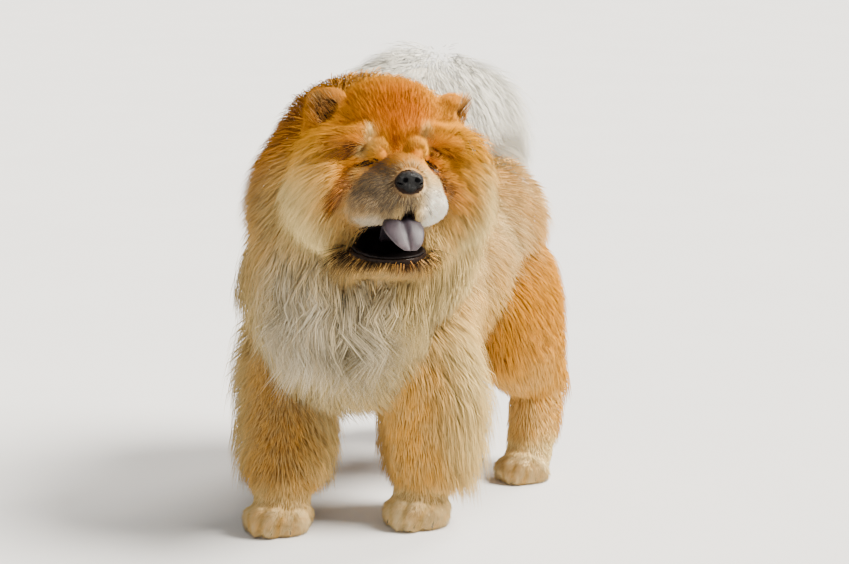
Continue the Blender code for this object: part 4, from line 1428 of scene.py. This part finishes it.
def eye_finish(colours, centre, forward):
    """Brown round the pupil, which looks forward, and dark at the rim."""
    finish = Finish("eye", 0.10, 0.3, coat_weight=0.3, coat_roughness=0.05)
    place = finish.place()
    ahead = (place - tuple(centre)).unit().dot(tuple(forward))
    iris = finish.blend(finish.noise(place, 900.0, 3.0), opaque(colours.iris, 0.5), opaque(colours.iris, 1.8))
    ball = finish.blend(finish.span(ahead, 0.76, 0.82), (0.035, 0.020, 0.014, 1.0), iris)
    pupil = finish.span(ahead, 0.945, 0.955)
    finish.feed("Base Color", finish.blend(pupil, ball, (0.002, 0.002, 0.002, 1.0)))
    return finish.material


def claw_finish(colours):
    finish = Finish("claw_horn", 0.3)
    grain = finish.noise(finish.place(), 500.0, 3.0)
    pale = finish.span(grain, 0.35, 0.65)
    finish.feed("Base Color", finish.blend(pale, opaque(colours.claws), (0.11, 0.085, 0.065, 1.0)))
    finish.bump(0.3, 0.0005, grain)
    return finish.material


# The face's own pieces, and the claws. Tongue and claws are tubes of rings of points


def build_eye(name, centre, radius):
    return joined("eye_ball_" + name, [in_head(centre, [radius] * 3, (90, 0, 0))], detail=2)


def build_nose():
    """The nose's leather, with its nostrils, the slits at their sides and the line down its middle."""
    nose = joined("nose_leather", [
        in_head((0, -0.1500, -0.0300), (0.0195, 0.0130, 0.0110)),
        in_head((0, -0.1480, -0.0400), (0.0115, 0.0120, 0.0105)),
        *head_pair((0.0112, -0.1505, -0.0335), (0.0086, 0.0115, 0.0098)),
    ])
    melt(nose, 0.0009, 5)
    for side in (-1, 1):
        opening, slit = (0.0096 * side, -0.1640, -0.0325), (0.0158 * side, -0.1585, -0.0368)
        carve(nose, in_head(opening, (0.0044, 0.0105, 0.0036), (0, 35 * side, 20 * side)))
        carve(nose, in_head(slit, (0.0056, 0.0085, 0.0014), (0, -24 * side, 0)))
    carve(nose, in_head((0, -0.166, -0.043), (0.0007, 0.0070, 0.0120)))
    return melt(nose, 0.0007, 3)


# How far inside the mouth's opening the lining's outer and inner faces lie
LINING_OUTER, LINING_INNER = 0.0006, 0.0050


def build_lining(solid):
    """The mouth's black lining, flush with the lips."""
    outer, inner = MOUTH.radii - LINING_OUTER, MOUTH.radii - LINING_INNER
    lining = joined("mouth_lining", [Ball((0, 0, 0), outer, place=MOUTH.matrix)], detail=2)
    hollow = joined("hollow", [Ball((0, -0.004, 0), inner, place=MOUTH.matrix)], detail=2)
    combine(lining, hollow, "DIFFERENCE")
    combine(lining, joined("hollow", CLEFT), "DIFFERENCE")
    combine(lining, solid, "INTERSECT")
    keep_largest(lining)
    return melt(lining, 0.0028, 2)


# The tongue's line from its root to its tip, with half its width and its thickness at each point
TONGUE = (
    (-0.006, -0.052, -0.106, 0.020, 0.0095), (-0.006, -0.090, -0.092, 0.024, 0.0090),
    (-0.006, -0.114, -0.084, 0.0260, 0.0085), (-0.007, -0.133, -0.090, 0.0285, 0.0075),
    (-0.006, -0.147, -0.105, 0.0270, 0.0064), (-0.003, -0.153, -0.121, 0.0190, 0.0050),
    (-0.001, -0.155, -0.130, 0.009, 0.0034),
)
TONGUE_RINGS, TONGUE_AROUND = 40, 52


def smooth_line(values, count):
    """Points along a smooth curve through the given rows."""
    values = np.array(values, float)
    last = len(values) - 1
    found = []
    for t in np.linspace(0, last, count):
        i = min(int(t), last - 1)
        f = t - i
        a, b = values[i], values[i + 1]
        slope_a, slope_b = (b - values[max(i - 1, 0)]) / 2, (values[min(i + 2, last)] - a) / 2
        start = a * (2 * f**3 - 3 * f**2 + 1) + slope_a * (f**3 - 2 * f**2 + f)
        found.append(start + b * (3 * f**2 - 2 * f**3) + slope_b * (f**3 - f**2))
    return np.array(found)


def share_of(value):
    return min(1.0, max(0.0, value))


def build_tongue():
    """A broad, flat tongue with a groove down its middle, which hangs over the lower lip."""
    line = smooth_line(TONGUE, TONGUE_RINGS)
    side = Vector((1, 0, 0))
    points, deep = [], []
    for i, (x, y, z, wide, thick) in enumerate(line):
        ahead = line[min(i + 1, TONGUE_RINGS - 1)][:3] - line[max(i - 1, 0)][:3]
        above = side.cross(Vector(ahead).normalized()).normalized() * -1
        curl = (0.10 - 0.35 * share_of((34 - i) / 16)) * wide
        for k in range(TONGUE_AROUND):
            u, v = math.cos(math.tau * k / TONGUE_AROUND), math.sin(math.tau * k / TONGUE_AROUND)
            groove = math.exp(-((u / 0.13) ** 2)) * 0.55 + math.exp(-((u / 0.40) ** 2)) * 0.20
            top = thick * (abs(v) ** 0.75) * (1 - groove) if v > 0 else -thick * 0.8 * abs(v) ** 0.75
            points.append(HEAD @ (Vector((x, y, z)) + side * wide * u + above * (top + curl * u * u)))
            # The tongue's painted shade: dark deep in the mouth and in the groove
            deep.append(share_of((37 - i) / 17) * 0.88 + 0.45 * math.exp(-((u / 0.10) ** 2)) * (v > 0))
    tongue = shells("tongue_flesh", [(points, tube_faces(TONGUE_RINGS, TONGUE_AROUND))])
    store(tongue.data, "deep", np.clip(np.array(deep), 0, 1))
    return tongue


CLAW_RINGS, CLAW_AROUND = (0.0, 0.25, 0.5, 0.75, 0.95), 12


def claw_shell(place, x, y, size):
    """A short, blunt claw that curves down from under the hair of a toe."""
    start = Vector((x * 1.08, y - 0.0190 * size, 0.0150 * size))
    end = Vector((x * 1.12, y - 0.0240 * size, 0.0048))
    middle = (start + end) / 2 + Vector((0, -0.0030, 0.0020))
    side = Vector((1, 0, 0))
    points = []
    for t in CLAW_RINGS:
        centre = start * (1 - t) ** 2 + middle * 2 * t * (1 - t) + end * t * t
        above = side.cross(((middle - start) * (1 - t) + (end - middle) * t).normalized()).normalized()
        radius = 0.0032 * (1 - 0.70 * t)
        for a in [math.tau * k / CLAW_AROUND for k in range(CLAW_AROUND)]:
            across = side * radius * 0.85 * math.cos(a)
            points.append(place @ (centre + across + above * radius * math.sin(a)))
    return points, tube_faces(len(CLAW_RINGS), CLAW_AROUND)


def build_claws():
    return shells("claws", [claw_shell(paw_place(*paw), *toe) for paw in PAWS for toe in TOES])


# Operators


def settled(obj, finish, slot, *nodes):
    """Gives a finished piece its material, hides the solids it replaces and lets it ride on the body. Its
    slot is not used.
    """
    obj.data.shade_smooth()
    obj.data.materials.clear()
    obj.data.materials.append(finish)
    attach(obj, "root")
    if nodes:
        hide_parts(*nodes)


FLESH = (
    "head", "ear_left", "ear_right", "neck_ruff", "torso", "tail", "foreleg_left", "foreleg_right",
    "hindleg_left", "hindleg_right", "forepaw_left", "forepaw_right", "hindpaw_left", "hindpaw_right",
)


class CHOW_OT_skin(bpy.types.Operator):
    """Builds the dog's one skin and the lining of its mouth"""

    bl_idname = "chow.skin"
    bl_label = "Skin"

    def execute(self, context):
        skin, solid = build_skin(context.scene.chow_skin)
        settled(skin, skin_finish(context.scene.chow_coat_colours), "body_coat", *FLESH)
        settled(build_lining(solid), lip_finish(context.scene.chow_face_colours), "lip_leather", "mouth")
        return {"FINISHED"}


class CHOW_OT_coat(bpy.types.Operator):
    """Combs the coat over the skin, piece by piece"""

    bl_idname = "chow.coat"
    bl_label = "Coat"

    def execute(self, context):
        sizes = context.scene.chow_coat
        skin = bpy.data.objects.get("skin")
        if skin is None:
            raise RuntimeError("The coat needs the skin first")
        group = coat_tree()
        finish = coat_finish(context.scene.chow_coat_colours)
        for index, (name, (spacing, rings, clump, slot)) in enumerate(COATS.items()):
            settings = {
                "Piece": index, "Seed": index + 1, "Spacing": sizes.body_spacing * spacing, "Rings": rings,
                "Thickness": sizes.thickness, "Unruly": sizes.unruly, "Swirl": sizes.swirl,
                "Uneven": sizes.uneven, "Clump Size": clump, "Finish": finish,
            }
            settled(comb(skin, group, name, settings), finish, slot)
        return {"FINISHED"}


class CHOW_OT_eyes(bpy.types.Operator):
    """Builds both eyes behind the lids"""

    bl_idname = "chow.eyes"
    bl_label = "Eyes"

    def execute(self, context):
        sizes, colours = context.scene.chow_skin, context.scene.chow_face_colours
        for side, name, (place, _) in zip((1, -1), ("left", "right"), eye_places(sizes)):
            centre = HEAD @ Vector((sizes.eye_side * side, -sizes.eye_forward, -0.001))
            forward = (HEAD.to_3x3() @ Vector((0.25 * side, -1.0, 0.0))).normalized()
            eye = build_eye(name, place, sizes.eye_radius)
            settled(eye, eye_finish(colours, centre, forward), "eye", "eye_" + name)
        return {"FINISHED"}


class CHOW_OT_nose(bpy.types.Operator):
    """Builds the nose"""

    bl_idname = "chow.nose"
    bl_label = "Nose"

    def execute(self, context):
        settled(build_nose(), nose_finish(context.scene.chow_face_colours), "nose_leather", "nose")
        return {"FINISHED"}


class CHOW_OT_tongue(bpy.types.Operator):
    """Builds the tongue"""

    bl_idname = "chow.tongue"
    bl_label = "Tongue"

    def execute(self, context):
        settled(build_tongue(), tongue_finish(context.scene.chow_face_colours), "tongue_flesh", "tongue")
        return {"FINISHED"}


class CHOW_OT_claws(bpy.types.Operator):
    """Builds the claws"""

    bl_idname = "chow.claws"
    bl_label = "Claws"

    def execute(self, context):
        settled(build_claws(), claw_finish(context.scene.chow_face_colours), "nose_leather")
        return {"FINISHED"}


# Each lamp's side and height in degrees, its strength and its tint
LAMPS = {
    "key": (102, 46, 12.5, (1.0, 0.95, 0.87)),
    "fill": (20, 35, 0.6, (1.0, 0.97, 0.93)),
    "rim": (165, 42, 4.0, (1.0, 0.95, 0.88)),
}
LAMP_ANGLE = math.radians(28)
SKY_TINT, SKY_STRENGTH = (1.0, 0.985, 0.96, 1.0), 0.37

# The lens, as its focal length and the picture's width in pixels, and the point that it is aimed at
SENSOR_WIDTH, FOCAL_PIXELS, PICTURE_WIDTH = 36.0, 2709, 849
AIM = Vector((0.052, -0.020, 0.355)) - MIDDLE
FLOOR_HEIGHT = -0.0002


def set_up(name, data, target, azimuth, elevation, distance):
    """A lamp or camera that looks at target from that side and height. Azimuth 0 is in front of the dog."""
    flat = math.cos(elevation)
    back = Vector((math.sin(azimuth) * flat, -math.cos(azimuth) * flat, math.sin(elevation)))
    made = linked(name, data)
    made.location = target + back * distance
    made.rotation_euler = back.to_track_quat("Z", "Y").to_euler()
    return made


class CHOW_OT_stage(bpy.types.Operator):
    """Adds the floor, the light and the camera"""

    bl_idname = "chow.stage"
    bl_label = "Stage"

    def execute(self, context):
        stage = context.scene.chow_stage
        bm = bmesh.new()
        bmesh.ops.create_grid(bm, x_segments=1, y_segments=1, size=40)
        bmesh.ops.translate(bm, vec=(0, 0, FLOOR_HEIGHT), verts=bm.verts)
        floor = object_of("floor", bm)
        finish = Finish("floor", 0.8, 0.2)
        grain = finish.span(finish.noise(finish.place(), 3.0, 3.0), 0.2, 0.8)
        finish.feed("Base Color", finish.blend(grain, opaque(stage.floor, 0.97), opaque(stage.floor)))
        floor.data.materials.append(finish.material)
        world = bpy.data.worlds.new("studio")
        context.scene.world = world
        world.use_nodes = True
        sky = world.node_tree.nodes["Background"]
        sky.inputs["Color"].default_value = SKY_TINT
        sky.inputs["Strength"].default_value = SKY_STRENGTH
        for name, (azimuth, elevation, strength, tint) in LAMPS.items():
            lamp = bpy.data.lights.new(name, "SUN")
            lamp.angle = LAMP_ANGLE
            lamp.energy = strength
            lamp.color = tint
            set_up(name, lamp, Vector((0, 0, 0.35)), math.radians(azimuth), math.radians(elevation), 4.0)
        lens = bpy.data.cameras.new("camera")
        lens.sensor_width = SENSOR_WIDTH
        lens.lens = FOCAL_PIXELS / PICTURE_WIDTH * SENSOR_WIDTH
        lens.clip_end = 200
        camera = set_up("camera", lens, AIM, stage.azimuth, stage.elevation, stage.distance)
        context.scene.camera = camera
        return {"FINISHED"}


class CHOW_PT_panel(bpy.types.Panel):
    """Lists the chow chow's steps and settings"""

    bl_idname = "CHOW_PT_panel"
    bl_label = "Chow chow"
    bl_space_type = "VIEW_3D"
    bl_region_type = "UI"
    bl_category = "Chow chow"

    def draw(self, context):
        for step in STEPS:
            self.layout.operator(step.bl_idname, text=step.bl_label)
        for name in SETTINGS:
            box = self.layout.box()
            for key in SETTINGS[name].__annotations__:
                box.prop(getattr(context.scene, name), key)


STEPS = (CHOW_OT_skin, CHOW_OT_coat, CHOW_OT_eyes, CHOW_OT_nose, CHOW_OT_tongue, CHOW_OT_claws, CHOW_OT_stage)
SETTINGS = {
    "chow_skin": ChowSkinSizes,
    "chow_coat": ChowCoatSizes,
    "chow_coat_colours": ChowCoatColours,
    "chow_face_colours": ChowFaceColours,
    "chow_stage": ChowStageSettings,
}


def register():
    for kind in (*SETTINGS.values(), *STEPS, CHOW_PT_panel):
        bpy.utils.register_class(kind)
    for name, kind in SETTINGS.items():
        setattr(bpy.types.Scene, name, bpy.props.PointerProperty(type=kind))


def unregister():
    for name in SETTINGS:
        delattr(bpy.types.Scene, name)
    for kind in reversed((*SETTINGS.values(), *STEPS, CHOW_PT_panel)):
        bpy.utils.unregister_class(kind)


def main():
    register()
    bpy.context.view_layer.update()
    bpy.ops.chow.skin()
    bpy.ops.chow.coat()
    bpy.ops.chow.eyes()
    bpy.ops.chow.nose()
    bpy.ops.chow.tongue()
    bpy.ops.chow.claws()
    bpy.ops.chow.stage()


if __name__ == "__main__":
    main()
